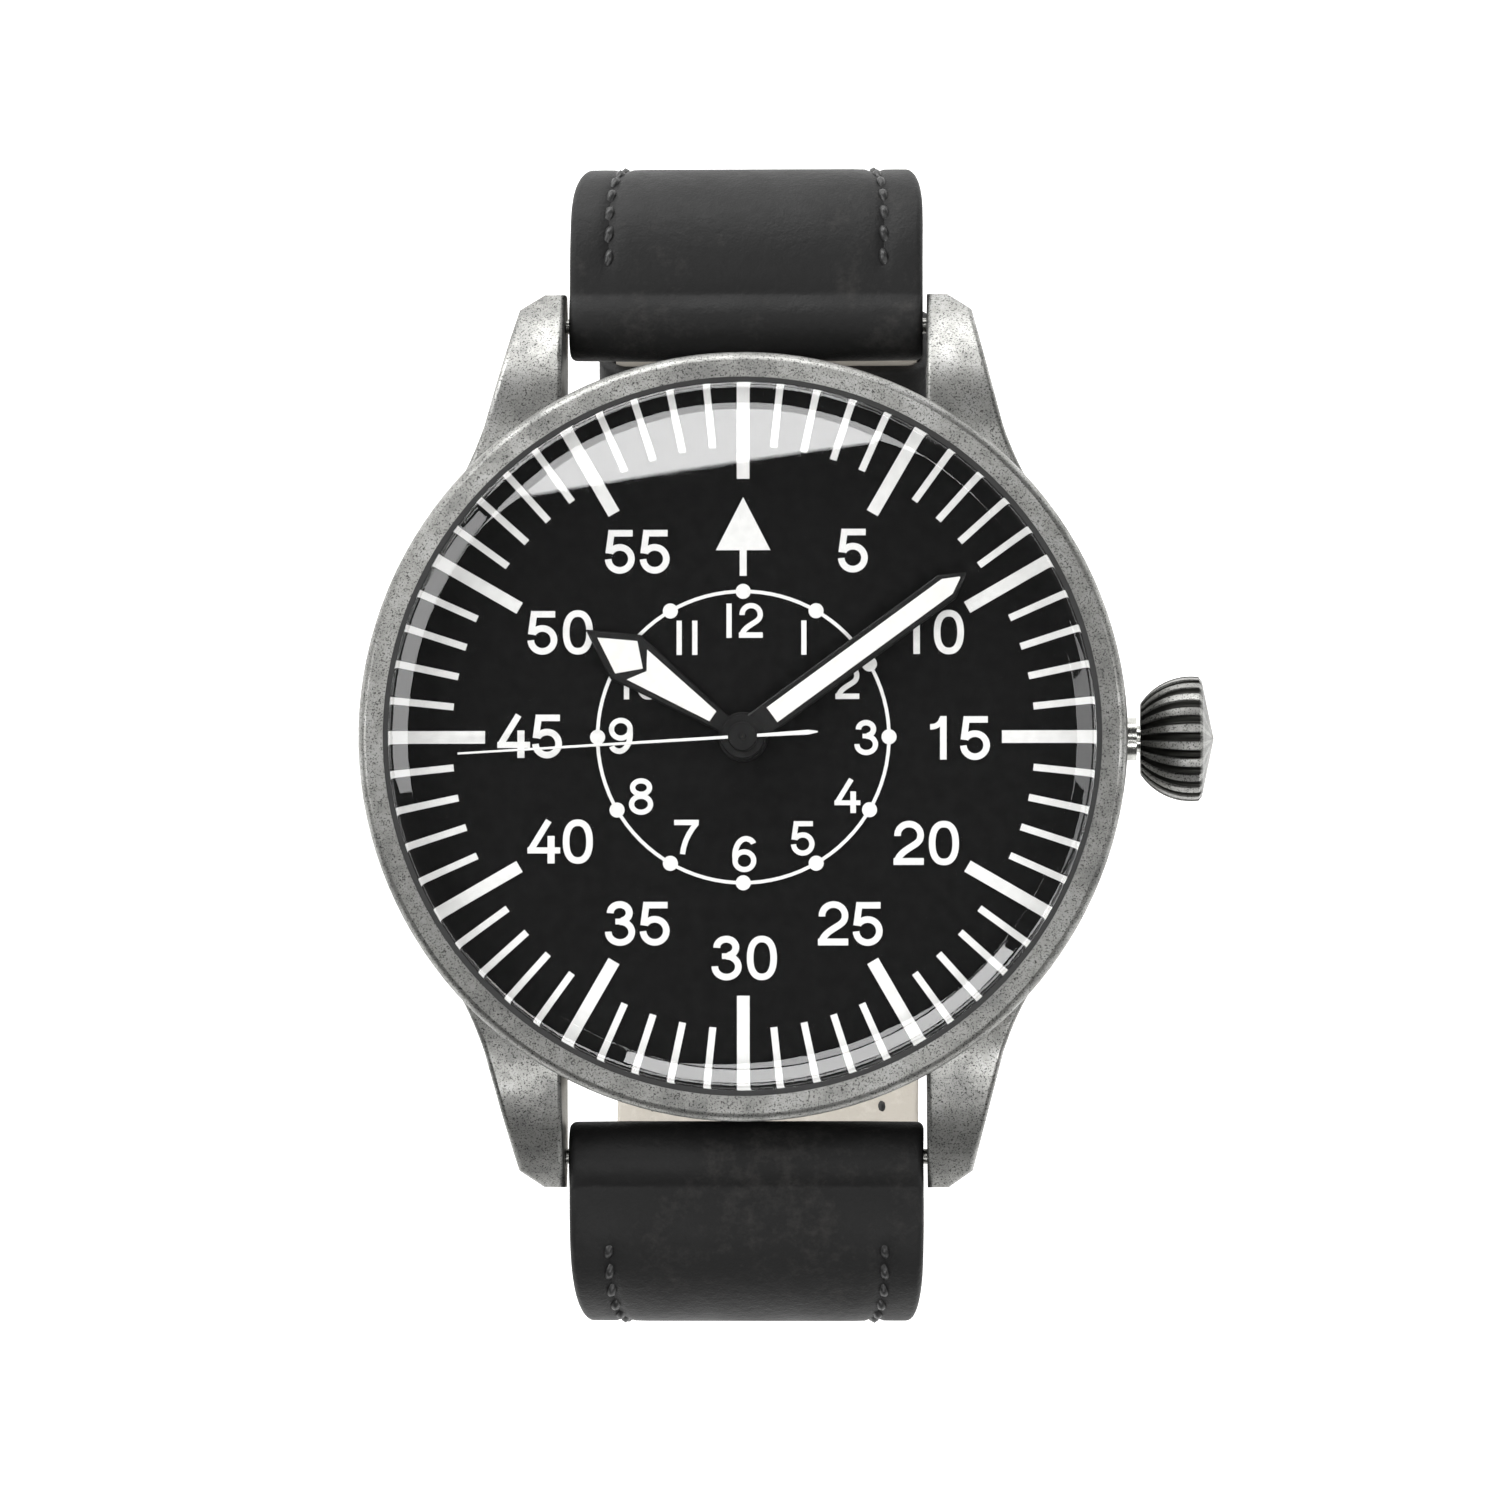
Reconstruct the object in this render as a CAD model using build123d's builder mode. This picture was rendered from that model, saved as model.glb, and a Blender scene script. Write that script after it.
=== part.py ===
from build123d import *
import os
from math import atan2, cos, degrees, radians, sin

os.makedirs("parts", exist_ok=True)

# Frame: Z = 0 is the flat outer face of the case back, +Z runs out through the dial,
# +Y is towards twelve o'clock and +X is towards the crown at three o'clock.

# General
overrun = 5.0
touch_gap = 0.05
pivot_gap = 0.03

# Case, as radii from the dial axis and levels above the case back
case_radius = 21.0
case_bottom = 0.5
case_top = 7.9
case_chamfer = 0.6
case_wall = 3.0
dial_wall = 1.45
dial_ledge_level = 6.8
back_lip = 0.6
back_flange = 0.9
back_seat_gap = 0.15
back_boss_gap = 0.15
back_boss_width = 1.25
back_boss_level = 1.9
back_notch_count = 6
back_notch_width = 2.2
back_notch_depth = 0.9
back_notch_cut = 0.45
back_gasket_width = 0.35
back_gasket_height = 0.3

# Lugs
lug_gap = 20.0
lug_tip_overhang = 1.7
lug_tip_width = 1.15
lug_shoulder_width = 2.5
lug_shoulder_drop = 0.95
lug_root_width = 4.2
lug_root_depth = 3.8
lug_blend_rise = 0.25
lug_blend_start_angle = 44.7
lug_blend_angle = 37.0
lug_root_sink = 0.25
lug_top_depth = 5.5
lug_mid_overhang = 0.4
lug_mid_level = 6.05
lug_tip_level = 3.0
lug_tip_low = 1.1
lug_under_level = 0.2
lug_under_depth = 1.7
lug_edge_round = 0.3
lug_edge_depth = 2.8
roll_radius = 1.95
roll_gap = 0.05
bar_level = 2.1
lug_hole_radius = 0.48
lug_hole_depth = 1.3

# Bezel, crystal and dial opening
bezel_width = 1.4
bezel_ledge_width = 0.55
bezel_top = 9.9
bezel_edge_width = 0.45
bezel_face_drop = 0.12
bezel_shoulder_level = 9.15
bezel_ledge_level = 8.35
bezel_ledge_top = 8.85
crystal_gap = 0.3
crystal_rim_low = 8.9
crystal_rim_top = 9.95
crystal_shoulder_width = 1.7
crystal_shoulder_top = 10.75
crystal_edge_width = 0.55
crystal_edge_level = 10.45
crystal_top = 11.5
crystal_under_width = 0.7
crystal_under_top = 9.75
rehaut_gap = 0.05
rehaut_width = 0.55
rehaut_low = 7.34
rehaut_top = 8.3
rehaut_slope = 0.12

# Crown, crown tube and stem along +X
stem_level = 3.7
tube_inset = 0.2
tube_overhang = 0.55
tube_radius = 1.2
tube_bore = 0.8
crown_gap = 0.75
crown_length = 3.2
crown_root_radius = 1.95
crown_bulge_share = 0.375
crown_bulge_radius = 3.05
crown_radius = 3.42
crown_rim_drop = 0.25
crown_cap_gap = 0.2
crown_cap_length = 0.65
crown_rib_count = 22
crown_groove_radius = 0.27
crown_groove_lift_root = 0.2
crown_groove_lift = 0.08
crown_skirt_bore = 1.35
crown_skirt_depth = 0.6
stem_radius = 0.6
stem_hub_radius = 0.75
stem_hub_inset = 0.4
stem_start = 7.4
stem_groove_reach = 13.9
stem_groove_radius = 0.36
stem_groove_width = 0.7
crown_gasket_outer = 1.3
crown_gasket_width = 0.4

# Dial and its luminous print
dial_gap = 0.15
dial_level = 6.85
dial_thickness = 0.4
dial_hole = 1.3
print_height = 0.06
bar_outer_gap = 0.05
minute_bar_inner = 15.9
minute_bar_width = 0.38
hour_bar_inner = 14.1
hour_bar_width = 0.69
minute_count = 60
hour_step = 5
ring_radius = 7.95
ring_line = 0.19
ring_dot_radius = 0.41
arrow_tip = 13.1
arrow_base = 10.2
arrow_half_width = 1.49
arrow_shaft_end = 8.8
arrow_shaft_width = 0.38

# Hands, measured along each hand from the dial axis
hand_thickness = 0.14
lume_thickness = 0.12
lume_gap = 0.02
hour_hand_level = 7.6
minute_hand_level = 8.02
second_hand_level = 8.42
hour_hand_angle = 304.3
minute_hand_angle = 53.8
second_hand_angle = 266.6
hour_root_reach = 1.65
hour_root_half = 0.55
hour_shoulder = 7.75
hour_half = 1.46
hour_tip = 10.34
hour_hub_radius = 1.35
hour_lume_start = 1.98
hour_lume_start_half = 0.33
hour_lume_end = 7.0
hour_lume_end_half = 0.99
hour_lume_notch = 6.36
hour_lume_tip = 9.62
hour_lume_tip_shoulder = 7.7
hour_lume_tip_half = 1.07
hour_lume_tip_notch = 6.6
minute_half = 0.8
minute_shoulder = 13.75
minute_tip = 15.07
minute_hub_radius = 1.2
minute_lume_start = 1.98
minute_lume_shoulder = 13.8
minute_lume_half = 0.5
minute_lume_tip = 14.66
second_tip = 15.54
second_half = 0.12
second_tip_half = 0.05
second_tail = 4.1
second_tail_shoulder = 3.58
second_tail_half = 0.2
second_tail_root_half = 0.11
second_hub_radius = 0.8
second_cap_radius = 0.2
second_cap_height = 0.12

# Movement levels, from the bridges at the back up to the dial
plate_radius = 15.2
plate_low = 4.6
plate_top = 5.95
bridge_low = 2.3
bridge_top = 2.85
bridge_foot_width = 0.9
bridge_center_radius = 2.2
bridge_center_gap = 0.35
barrel_bridge_start = 6.0
barrel_bridge_end = 150.0
barrel_foot_start = 14.0
train_bridge_start = 158.0
train_bridge_end = 218.0
cock_width = 3.2
cock_foot_half = 6.0
wheel_thickness = 0.18
arbor_radius = 0.25
arbor_low = 2.9
arbor_top = 4.55
pivot_radius = 0.1
pivot_length = 0.4
jewel_radius = 0.5
jewel_height = 0.3
tooth_gap = 0.02
tooth_share = 0.9
spoke_count = 4
spoke_width = 0.34
rim_width = 0.5
hub_radius = 0.7
spiral_steps = 20

# Barrel and mainspring
barrel_angle = 60.0
barrel_pitch_radius = 6.6
barrel_teeth = 72
barrel_drum_radius = 6.15
barrel_low = 3.77
barrel_teeth_level = 4.35
barrel_wall = 0.22
barrel_cover_thickness = 0.12
barrel_arbor_radius = 0.75
barrel_arbor_top = 5.2
mainspring_turns = 6
mainspring_width = 0.16
mainspring_inner = 1.6

# Wheels of the going train: pitch radii, teeth and levels
center_pinion_radius = 0.9
center_pinion_teeth = 12
center_radius = 3.9
center_teeth = 64
center_level = 3.52
center_bore = 0.2
center_arbor_radius = 0.36
center_arbor_top = 6.3
third_angle = 200.0
third_pinion_radius = 0.6
third_pinion_teeth = 8
third_radius = 3.95
third_teeth = 60
third_level = 3.24
fourth_pinion_radius = 0.55
fourth_pinion_teeth = 8
fourth_radius = 3.9
fourth_teeth = 70
fourth_level = 2.93
fourth_arbor_radius = 0.15
escape_angle = 265.0
escape_pinion_radius = 0.45
escape_pinion_teeth = 7
escape_pinion_top = 3.3
escape_radius = 1.95
escape_teeth = 15
escape_level = 3.78

# Pallet fork, balance and hairspring
pallet_angle = 250.0
pallet_distance = 2.5
pallet_arm = 1.15
pallet_stone_reach = 0.5
pallet_tail = 2.3
pallet_width = 0.4
pallet_hub_radius = 0.5
pallet_bridge_low = 3.5
pallet_bridge_top = 3.68
pallet_bridge_half = 2.4
pallet_bridge_width = 1.4
pallet_bridge_angle = 340.0
balance_angle = 225.0
balance_distance = 3.6
balance_radius = 4.0
balance_rim = 0.45
balance_level = 3.0
balance_thickness = 0.16
roller_radius = 1.1
roller_level = 4.05
roller_thickness = 0.15
hairspring_turns = 7
hairspring_inner = 0.7
hairspring_outer = 3.0
hairspring_width = 0.09
hairspring_low = 2.87
hairspring_height = 0.1

# Motion work under the dial
motion_level = 6.05
motion_pinion_top = 6.6
cannon_pitch_radius = 1.0
cannon_teeth = 10
cannon_gear_height = 0.28
cannon_tube_radius = 0.62
minute_wheel_pitch = 3.0
minute_wheel_teeth = 30
minute_wheel_angle = 300.0
minute_pinion_pitch = 0.8
minute_pinion_teeth = 8
minute_post_radius = 0.3
hour_wheel_pitch = 3.2
hour_wheel_teeth = 32
hour_wheel_level = 6.4
hour_tube_radius = 0.98
hour_tube_bore = 0.72

# Winding and setting work
ratchet_pitch = 5.4
ratchet_teeth = 43
ratchet_low = 1.92
ratchet_thickness = 0.33
crown_wheel_pitch = 3.0
crown_wheel_teeth = 24
crown_wheel_angle = -24.5
crown_wheel_post_radius = 0.8
click_angle = 128.0
click_lead = 20.0
click_offset = 1.05
click_beak_offset = 0.25
click_radius = 0.6
click_beak_radius = 0.2
click_post_radius = 0.25
winding_pinion_start = 11.9
winding_pinion_end = 13.1
winding_pinion_radius = 1.3
winding_pinion_teeth = 12
clutch_start = 9.15
clutch_end = 11.85
clutch_radius = 1.15
clutch_groove_radius = 0.85
clutch_groove_reach = 10.45
clutch_groove_width = 0.5
keyless_slot_start = 7.9
keyless_slot_half = 1.75
keyless_thickness = 0.3
stem_block_low = 2.95
stem_block_width = 1.8
yoke_pin_width = 0.3
yoke_length = 6.0
yoke_width = 0.9
lever_pivot_reach = 2.6
lever_width = 0.8
lever_pin_radius = 0.2
lever_post_radius = 0.22

# Movement holder, clamps and screws
holder_inner = 15.3
holder_gap = 0.15
holder_stem_slot = 2.0
clamp_angles = (30.0, 190.0)
clamp_inner = 14.0
clamp_outer = 17.2
clamp_width = 2.4
clamp_thickness = 0.3
clamp_screw_reach = 15.95
clamp_screw_head = 0.6
clamp_screw_shank = 0.35
bridge_screw_head = 0.42
bridge_screw_shank = 0.25
barrel_bridge_screw_angles = (48.0, 112.0)
train_bridge_screw_angles = (166.0, 210.0)
screw_head_height = 0.25
screw_shank_length = 1.5
screw_slot = 0.16

# Strap loop seen from the side: the centre line of its thickness
strap_thickness = 2.4
leather_thickness = 1.4
bend_radius = 5.8
loop_radius = 18.0
loop_overhang = 8.1
side_length = 17.0
layer_gap = 0.15
strap_width = 19.6
strap_end_width = 18.0
strap_taper_drop = 11.1
roll_bore = 0.82
lining_gap = 0.1
spring_bar_radius = 0.75
spring_bar_length = 19.5
spring_bar_tip_radius = 0.42
spring_bar_tip_length = 0.9
tail_angle = 56.0
tail_round = 5.5
dip_start = 12.3
dip_end = 5.8
hole_radius = 0.95
hole_pitch = 6.5
hole_side_count = 3
pin_reach = 7.4

# Pin buckle and keepers
buckle_y = -4.0
buckle_rise = 0.7
buckle_bar_radius = 0.7
buckle_bar_bore = 0.78
buckle_roll_radius = 1.9
frame_gap = 0.3
frame_arm = 1.8
frame_eye_radius = 1.5
crossbar_far = 14.9
crossbar_near = 12.35
crossbar_height = 3.3
tongue_width = 1.8
tongue_slot_gap = 0.25
tongue_ring = 1.28
tongue_thickness = 1.05
tongue_knee_reach = 9.3
tongue_end_reach = 15.2
tongue_floor = 0.12
notch_depth = 1.25
tongue_slot_far = 10.2
tongue_slot_near = 4.3
keeper_wall = 0.95
keeper_gap = 0.1
keeper_side_gap = 0.25
fixed_keeper_start = 4.2
fixed_keeper_end = 9.0
free_keeper_width = 4.8
free_keeper_angle = 33.0

# Rings of the case, bezel and crystal, worked out from the case radius
case_bore = case_radius - case_wall
dial_bore = case_radius - dial_wall
back_radius = case_bore + back_lip
back_boss_radius = case_bore - back_boss_gap
back_boss_inner = back_boss_radius - back_boss_width
bezel_inner = case_radius - bezel_width
bezel_ledge_radius = bezel_inner - bezel_ledge_width
bezel_face_edge = case_radius - bezel_edge_width
crystal_radius = bezel_inner - crystal_gap
crystal_shoulder_radius = crystal_radius - crystal_shoulder_width
crystal_edge_radius = crystal_radius - crystal_edge_width
crystal_under_radius = crystal_radius - crystal_under_width
rehaut_outer = dial_bore - rehaut_gap
rehaut_inner = rehaut_outer - rehaut_width
dial_radius = dial_bore - dial_gap
bar_outer = rehaut_inner - bar_outer_gap
holder_outer = case_bore - holder_gap

# Reaches of the lugs and spring bars, measured from the dial axis
bar_reach = case_radius + roll_radius + roll_gap
lug_tip_reach = bar_reach + lug_tip_overhang
lug_root_reach = case_radius - lug_root_depth
lug_top_start = case_radius - lug_top_depth
lug_mid_reach = case_radius + lug_mid_overhang
lug_under_reach = case_radius - lug_under_depth
lug_edge_reach = case_radius - lug_edge_depth

# Reaches of the crown and its tube
tube_inner_reach = case_bore + tube_inset
tube_outer_reach = case_radius + tube_overhang
stem_hub_start = tube_inner_reach + stem_hub_inset
crown_start = case_radius + crown_gap
crown_bulge_reach = crown_start + crown_bulge_share * crown_length
crown_end = crown_start + crown_length
crown_cap_start = crown_end + crown_cap_gap
crown_cap_end = crown_cap_start + crown_cap_length

# Places of the loop, seen from the side
loop_reach = bar_reach + loop_overhang
bend_y = loop_reach - bend_radius
arc_y = loop_reach - loop_radius
bend_level = bar_level - bend_radius
arc_level = bend_level - side_length
under_level = arc_level - loop_radius
half_thickness = strap_thickness / 2
tail_radius = loop_radius + strap_thickness + layer_gap
tail_level = arc_level - tail_radius
floor_level = tail_level - half_thickness - keeper_gap - keeper_wall
buckle_level = under_level + buckle_rise


def polar(radius, angle):
    """Point at a radius and an angle in degrees from +X."""
    return (radius * cos(radians(angle)), radius * sin(radians(angle)))


def beyond(point, distance, angle):
    """Point at a distance and an angle from another point."""
    step = polar(distance, angle)
    return (point[0] + step[0], point[1] + step[1])


def save(piece, name):
    """Label a finished piece and write its file."""
    piece.part.label = name
    export_step(piece.part, f"parts/{name}.step")


def hand_plane(angle, level):
    """Plane whose X runs along a hand set at a clock angle from twelve."""
    along = (sin(radians(angle)), cos(radians(angle)), 0)
    return Plane(origin=(0, 0, level), x_dir=along, z_dir=(0, 0, 1))


# Wheel places in the movement
barrel_place = polar(barrel_pitch_radius + center_pinion_radius, barrel_angle)
third_place = polar(center_radius + third_pinion_radius, third_angle)
escape_reach = fourth_radius + escape_pinion_radius
escape_place = polar(escape_reach, escape_angle)
pallet_place = beyond(escape_place, pallet_distance, pallet_angle)
balance_place = beyond(pallet_place, balance_distance, balance_angle)
minute_wheel_place = polar(minute_wheel_pitch + cannon_pitch_radius, minute_wheel_angle)
crown_wheel_place = beyond(barrel_place, ratchet_pitch + crown_wheel_pitch, crown_wheel_angle)


# Case middle with its four lugs

with BuildPart() as lugs:
    with BuildSketch():
        for across in (1, -1):
            for up in (1, -1):
                inner = across * lug_gap / 2
                end = polar(case_radius - lug_root_sink, lug_blend_angle)
                blend = polar(case_radius + lug_blend_rise, lug_blend_start_angle)
                with BuildLine():
                    Polyline(
                        (across * end[0], up * end[1]),
                        (inner, up * lug_top_start / 2),
                        (inner, up * lug_tip_reach),
                        (inner + across * lug_tip_width, up * lug_tip_reach),
                        (inner + across * lug_shoulder_width, up * (lug_tip_reach - lug_shoulder_drop)),
                        (inner + across * lug_root_width, up * lug_root_reach),
                    )
                    ThreePointArc(
                        (inner + across * lug_root_width, up * lug_root_reach),
                        (across * blend[0], up * blend[1]),
                        (across * end[0], up * end[1]),
                    )
                make_face()
    extrude(amount=case_top)
    with BuildSketch(Plane.YZ):
        with BuildLine():
            for side in (1, -1):
                Line((0, case_top), (side * lug_top_start, case_top))
                ThreePointArc(
                    (side * lug_top_start, case_top),
                    (side * lug_mid_reach, lug_mid_level),
                    (side * lug_tip_reach, lug_tip_level),
                )
                Polyline(
                    (side * lug_tip_reach, lug_tip_level),
                    (side * lug_tip_reach, lug_tip_low),
                    (side * bar_reach, lug_under_level),
                    (side * lug_under_reach, case_bottom),
                    (0, case_bottom),
                )
        make_face()
    extrude(amount=case_radius + overrun, both=True, mode=Mode.INTERSECT)
    lug_edges = [
        e for e in lugs.edges()
        if abs(e.center().Y) > lug_edge_reach
        and e.center().Z > lug_tip_level - touch_gap
    ]
    fillet(lug_edges, radius=lug_edge_round)

with BuildPart() as case_middle:
    with BuildSketch(Plane.XZ):
        Polygon(
            (0, case_bottom),
            (case_radius - case_chamfer, case_bottom),
            (case_radius, case_bottom + case_chamfer),
            (case_radius, case_top),
            (0, case_top),
            align=None,
        )
    revolve(axis=Axis.Z)
    add(lugs.part)
    with BuildSketch(Plane.XY.offset(case_bottom)):
        Circle(case_bore)
    extrude(amount=case_top, mode=Mode.SUBTRACT)
    with BuildSketch(Plane.XY.offset(dial_ledge_level)):
        Circle(dial_bore)
    extrude(amount=case_top, mode=Mode.SUBTRACT)
    with BuildSketch(Plane.XY.offset(back_flange + touch_gap)):
        Circle(back_radius + back_seat_gap)
    extrude(amount=-overrun, mode=Mode.SUBTRACT)
    with BuildSketch(Plane.XY.offset(back_flange)):
        Circle(case_bore + back_gasket_width)
    extrude(amount=back_gasket_height, mode=Mode.SUBTRACT)
    with BuildSketch(Plane.YZ.offset(case_bore - touch_gap - overrun)):
        with Locations((0, stem_level)):
            Circle(tube_radius)
    extrude(amount=case_radius, mode=Mode.SUBTRACT)
    for across in (1, -1):
        with BuildSketch(Plane.YZ.offset(across * (lug_gap / 2 - touch_gap))):
            with Locations((bar_reach, bar_level), (-bar_reach, bar_level)):
                Circle(lug_hole_radius)
        extrude(amount=across * (lug_hole_depth + touch_gap), mode=Mode.SUBTRACT)
save(case_middle, "case_middle")


# Case back, screwed in from behind

with BuildPart() as case_back:
    with BuildSketch():
        Circle(back_radius)
    extrude(amount=back_flange)
    with BuildSketch(Plane.XY.offset(back_flange)):
        Circle(back_boss_radius)
        Circle(back_boss_inner, mode=Mode.SUBTRACT)
    extrude(amount=back_boss_level - back_flange)
    with BuildSketch():
        with PolarLocations(back_radius, back_notch_count):
            Rectangle(2 * back_notch_depth, back_notch_width)
    extrude(amount=back_notch_cut, mode=Mode.SUBTRACT)
save(case_back, "case_back")

with BuildPart() as case_back_gasket:
    with BuildSketch(Plane.XY.offset(back_flange)):
        Circle(case_bore + back_gasket_width)
        Circle(case_bore - touch_gap, mode=Mode.SUBTRACT)
    extrude(amount=back_gasket_height)
save(case_back_gasket, "case_back_gasket")


# Bezel with a ledge that carries the crystal

with BuildPart() as bezel:
    with BuildSketch(Plane.XZ):
        with BuildLine():
            Polyline(
                (case_radius, bezel_shoulder_level),
                (case_radius, case_top),
                (dial_bore, case_top),
                (dial_bore, bezel_ledge_level),
                (bezel_ledge_radius, bezel_ledge_level),
                (bezel_ledge_radius, bezel_ledge_top),
                (bezel_inner, bezel_ledge_top),
                (bezel_inner, bezel_top),
                (bezel_face_edge, bezel_top - bezel_face_drop),
            )
            RadiusArc(
                (bezel_face_edge, bezel_top - bezel_face_drop),
                (case_radius, bezel_shoulder_level),
                bezel_top - bezel_shoulder_level,
            )
        make_face()
    revolve(axis=Axis.Z)
save(bezel, "bezel")


# Domed crystal, thin at the middle of its underside, steep near its rim

with BuildPart() as crystal:
    with BuildSketch(Plane.XZ):
        with BuildLine():
            Line((0, crystal_under_top), (0, crystal_top))
            TangentArc((0, crystal_top), (crystal_shoulder_radius, crystal_shoulder_top), tangent=(1, 0))
            ThreePointArc(
                (crystal_shoulder_radius, crystal_shoulder_top),
                (crystal_edge_radius, crystal_edge_level),
                (crystal_radius, crystal_rim_top),
            )
            Polyline(
                (crystal_radius, crystal_rim_top),
                (crystal_radius, crystal_rim_low),
                (crystal_under_radius, crystal_rim_low),
            )
            TangentArc((0, crystal_under_top), (crystal_under_radius, crystal_rim_low), tangent=(1, 0))
        make_face()
    revolve(axis=Axis.Z)
save(crystal, "crystal")

with BuildPart() as crystal_gasket:
    with BuildSketch(Plane.XY.offset(crystal_rim_low)):
        Circle(bezel_inner)
        Circle(crystal_radius, mode=Mode.SUBTRACT)
    extrude(amount=bezel_top - crystal_rim_low)
save(crystal_gasket, "crystal_gasket")

with BuildPart() as rehaut_ring:
    with BuildSketch(Plane.XZ):
        Polygon(
            (rehaut_inner - rehaut_slope, rehaut_low),
            (rehaut_outer, rehaut_low),
            (rehaut_outer, rehaut_top),
            (rehaut_inner, rehaut_top),
            align=None,
        )
    revolve(axis=Axis.Z)
save(rehaut_ring, "rehaut_ring")


# Crown, its tube in the case wall and its gasket

with BuildPart() as crown_tube:
    with BuildSketch(Plane.YZ.offset(tube_inner_reach)):
        with Locations((0, stem_level)):
            Circle(tube_radius)
            Circle(tube_bore, mode=Mode.SUBTRACT)
    extrude(amount=tube_outer_reach - tube_inner_reach)
save(crown_tube, "crown_tube")

stem_axis = Axis((0, 0, stem_level), (1, 0, 0))

with BuildPart() as crown:
    with BuildSketch(Plane.XZ):
        with BuildLine():
            Line((crown_start, stem_level), (crown_start, stem_level + crown_root_radius))
            ThreePointArc(
                (crown_start, stem_level + crown_root_radius),
                (crown_bulge_reach, stem_level + crown_bulge_radius),
                (crown_end, stem_level + crown_radius),
            )
            Polyline(
                (crown_end, stem_level + crown_radius),
                (crown_cap_start, stem_level + crown_radius - crown_rim_drop),
                (crown_cap_end, stem_level),
                (crown_start, stem_level),
            )
        make_face()
    revolve(axis=stem_axis)
    with BuildLine(Plane.XZ):
        groove_path = ThreePointArc(
            (crown_start - touch_gap, stem_level + crown_root_radius + crown_groove_lift_root),
            (crown_bulge_reach, stem_level + crown_bulge_radius + crown_groove_lift),
            (crown_cap_start + touch_gap, stem_level + crown_radius + crown_groove_lift),
        )
    with BuildPart(mode=Mode.PRIVATE) as groove:
        with BuildSketch(Plane(origin=groove_path @ 0, z_dir=groove_path % 0)):
            Circle(crown_groove_radius)
        sweep(path=groove_path)
    for turn in range(crown_rib_count):
        add(groove.part.rotate(stem_axis, 360 * turn / crown_rib_count), mode=Mode.SUBTRACT)
    with BuildSketch(Plane.YZ.offset(crown_start - touch_gap)):
        with Locations((0, stem_level)):
            Circle(crown_skirt_bore)
    extrude(amount=crown_skirt_depth + touch_gap, mode=Mode.SUBTRACT)
save(crown, "crown")

with BuildPart() as crown_gasket:
    with BuildSketch(Plane.YZ.offset(crown_start + touch_gap)):
        with Locations((0, stem_level)):
            Circle(crown_gasket_outer)
            Circle(stem_hub_radius + pivot_gap, mode=Mode.SUBTRACT)
    extrude(amount=crown_gasket_width)
save(crown_gasket, "crown_gasket")

with BuildPart() as winding_stem:
    with BuildSketch(Plane.XZ):
        Polygon(
            (stem_start, stem_level),
            (stem_start, stem_level + stem_radius),
            (stem_groove_reach - stem_groove_width, stem_level + stem_radius),
            (stem_groove_reach - stem_groove_width, stem_level + stem_groove_radius),
            (stem_groove_reach + stem_groove_width, stem_level + stem_groove_radius),
            (stem_groove_reach + stem_groove_width, stem_level + stem_radius),
            (stem_hub_start, stem_level + stem_radius),
            (stem_hub_start, stem_level + stem_hub_radius),
            (crown_start + crown_skirt_depth, stem_level + stem_hub_radius),
            (crown_start + crown_skirt_depth, stem_level),
            align=None,
        )
    revolve(axis=stem_axis)
save(winding_stem, "winding_stem")


# Dial with its raised luminous print

with BuildPart() as dial:
    with BuildSketch(Plane.XY.offset(dial_level)):
        Circle(dial_radius)
        Circle(dial_hole, mode=Mode.SUBTRACT)
    extrude(amount=dial_thickness)
save(dial, "dial")

dial_top = dial_level + dial_thickness

with BuildPart() as dial_markings:
    with BuildSketch(Plane.XY.offset(dial_top)):
        Circle(ring_radius + ring_line / 2)
        Circle(ring_radius - ring_line / 2, mode=Mode.SUBTRACT)
        with PolarLocations(ring_radius, minute_count // hour_step):
            Circle(ring_dot_radius)
        for minute in range(minute_count):
            on_hour = minute % hour_step == 0
            inner = hour_bar_inner if on_hour else minute_bar_inner
            width = hour_bar_width if on_hour else minute_bar_width
            turn = 360 * minute / minute_count
            with Locations(Location(polar((bar_outer + inner) / 2, turn), turn)):
                Rectangle(bar_outer - inner, width)
        Polygon(
            (0, arrow_tip),
            (-arrow_half_width, arrow_base),
            (arrow_half_width, arrow_base),
            align=None,
        )
        with Locations((0, (arrow_base + arrow_shaft_end) / 2)):
            Rectangle(arrow_shaft_width, arrow_base - arrow_shaft_end)
    extrude(amount=print_height)
save(dial_markings, "dial_markings")


# Hands, black frames with luminous insets


def hand_outline(points):
    """Closed outline of a hand from points of its upper half, mirrored below."""
    lower = [(x, -y) for x, y in reversed(points) if y != 0]
    Polygon(*points, *lower, align=None)


hour_frame_points = [
    (hour_root_reach, hour_root_half),
    (hour_shoulder, hour_half),
    (hour_tip, 0),
]
hour_lume_points = [
    (hour_lume_start, hour_lume_start_half),
    (hour_lume_end, hour_lume_end_half),
    (hour_lume_notch, 0),
]
hour_lume_tip_points = [
    (hour_lume_tip_notch, 0),
    (hour_lume_tip_shoulder, hour_lume_tip_half),
    (hour_lume_tip, 0),
]
minute_frame_points = [
    (0, minute_half),
    (minute_shoulder, minute_half),
    (minute_tip, 0),
]
minute_lume_points = [
    (minute_lume_start, minute_lume_half),
    (minute_lume_shoulder, minute_lume_half),
    (minute_lume_tip, 0),
]

with BuildPart() as hour_hand:
    with BuildSketch(hand_plane(hour_hand_angle, hour_hand_level)):
        hand_outline([(0, hour_root_half), *hour_frame_points])
        Circle(hour_hub_radius)
        Circle(hour_tube_radius, mode=Mode.SUBTRACT)
    extrude(amount=hand_thickness)
    with BuildSketch(hand_plane(hour_hand_angle, hour_hand_level + hand_thickness)):
        hand_outline(hour_lume_points)
        hand_outline(hour_lume_tip_points)
        offset(amount=lume_gap, kind=Kind.INTERSECTION)
    extrude(amount=-lume_thickness, mode=Mode.SUBTRACT)
save(hour_hand, "hour_hand")

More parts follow.
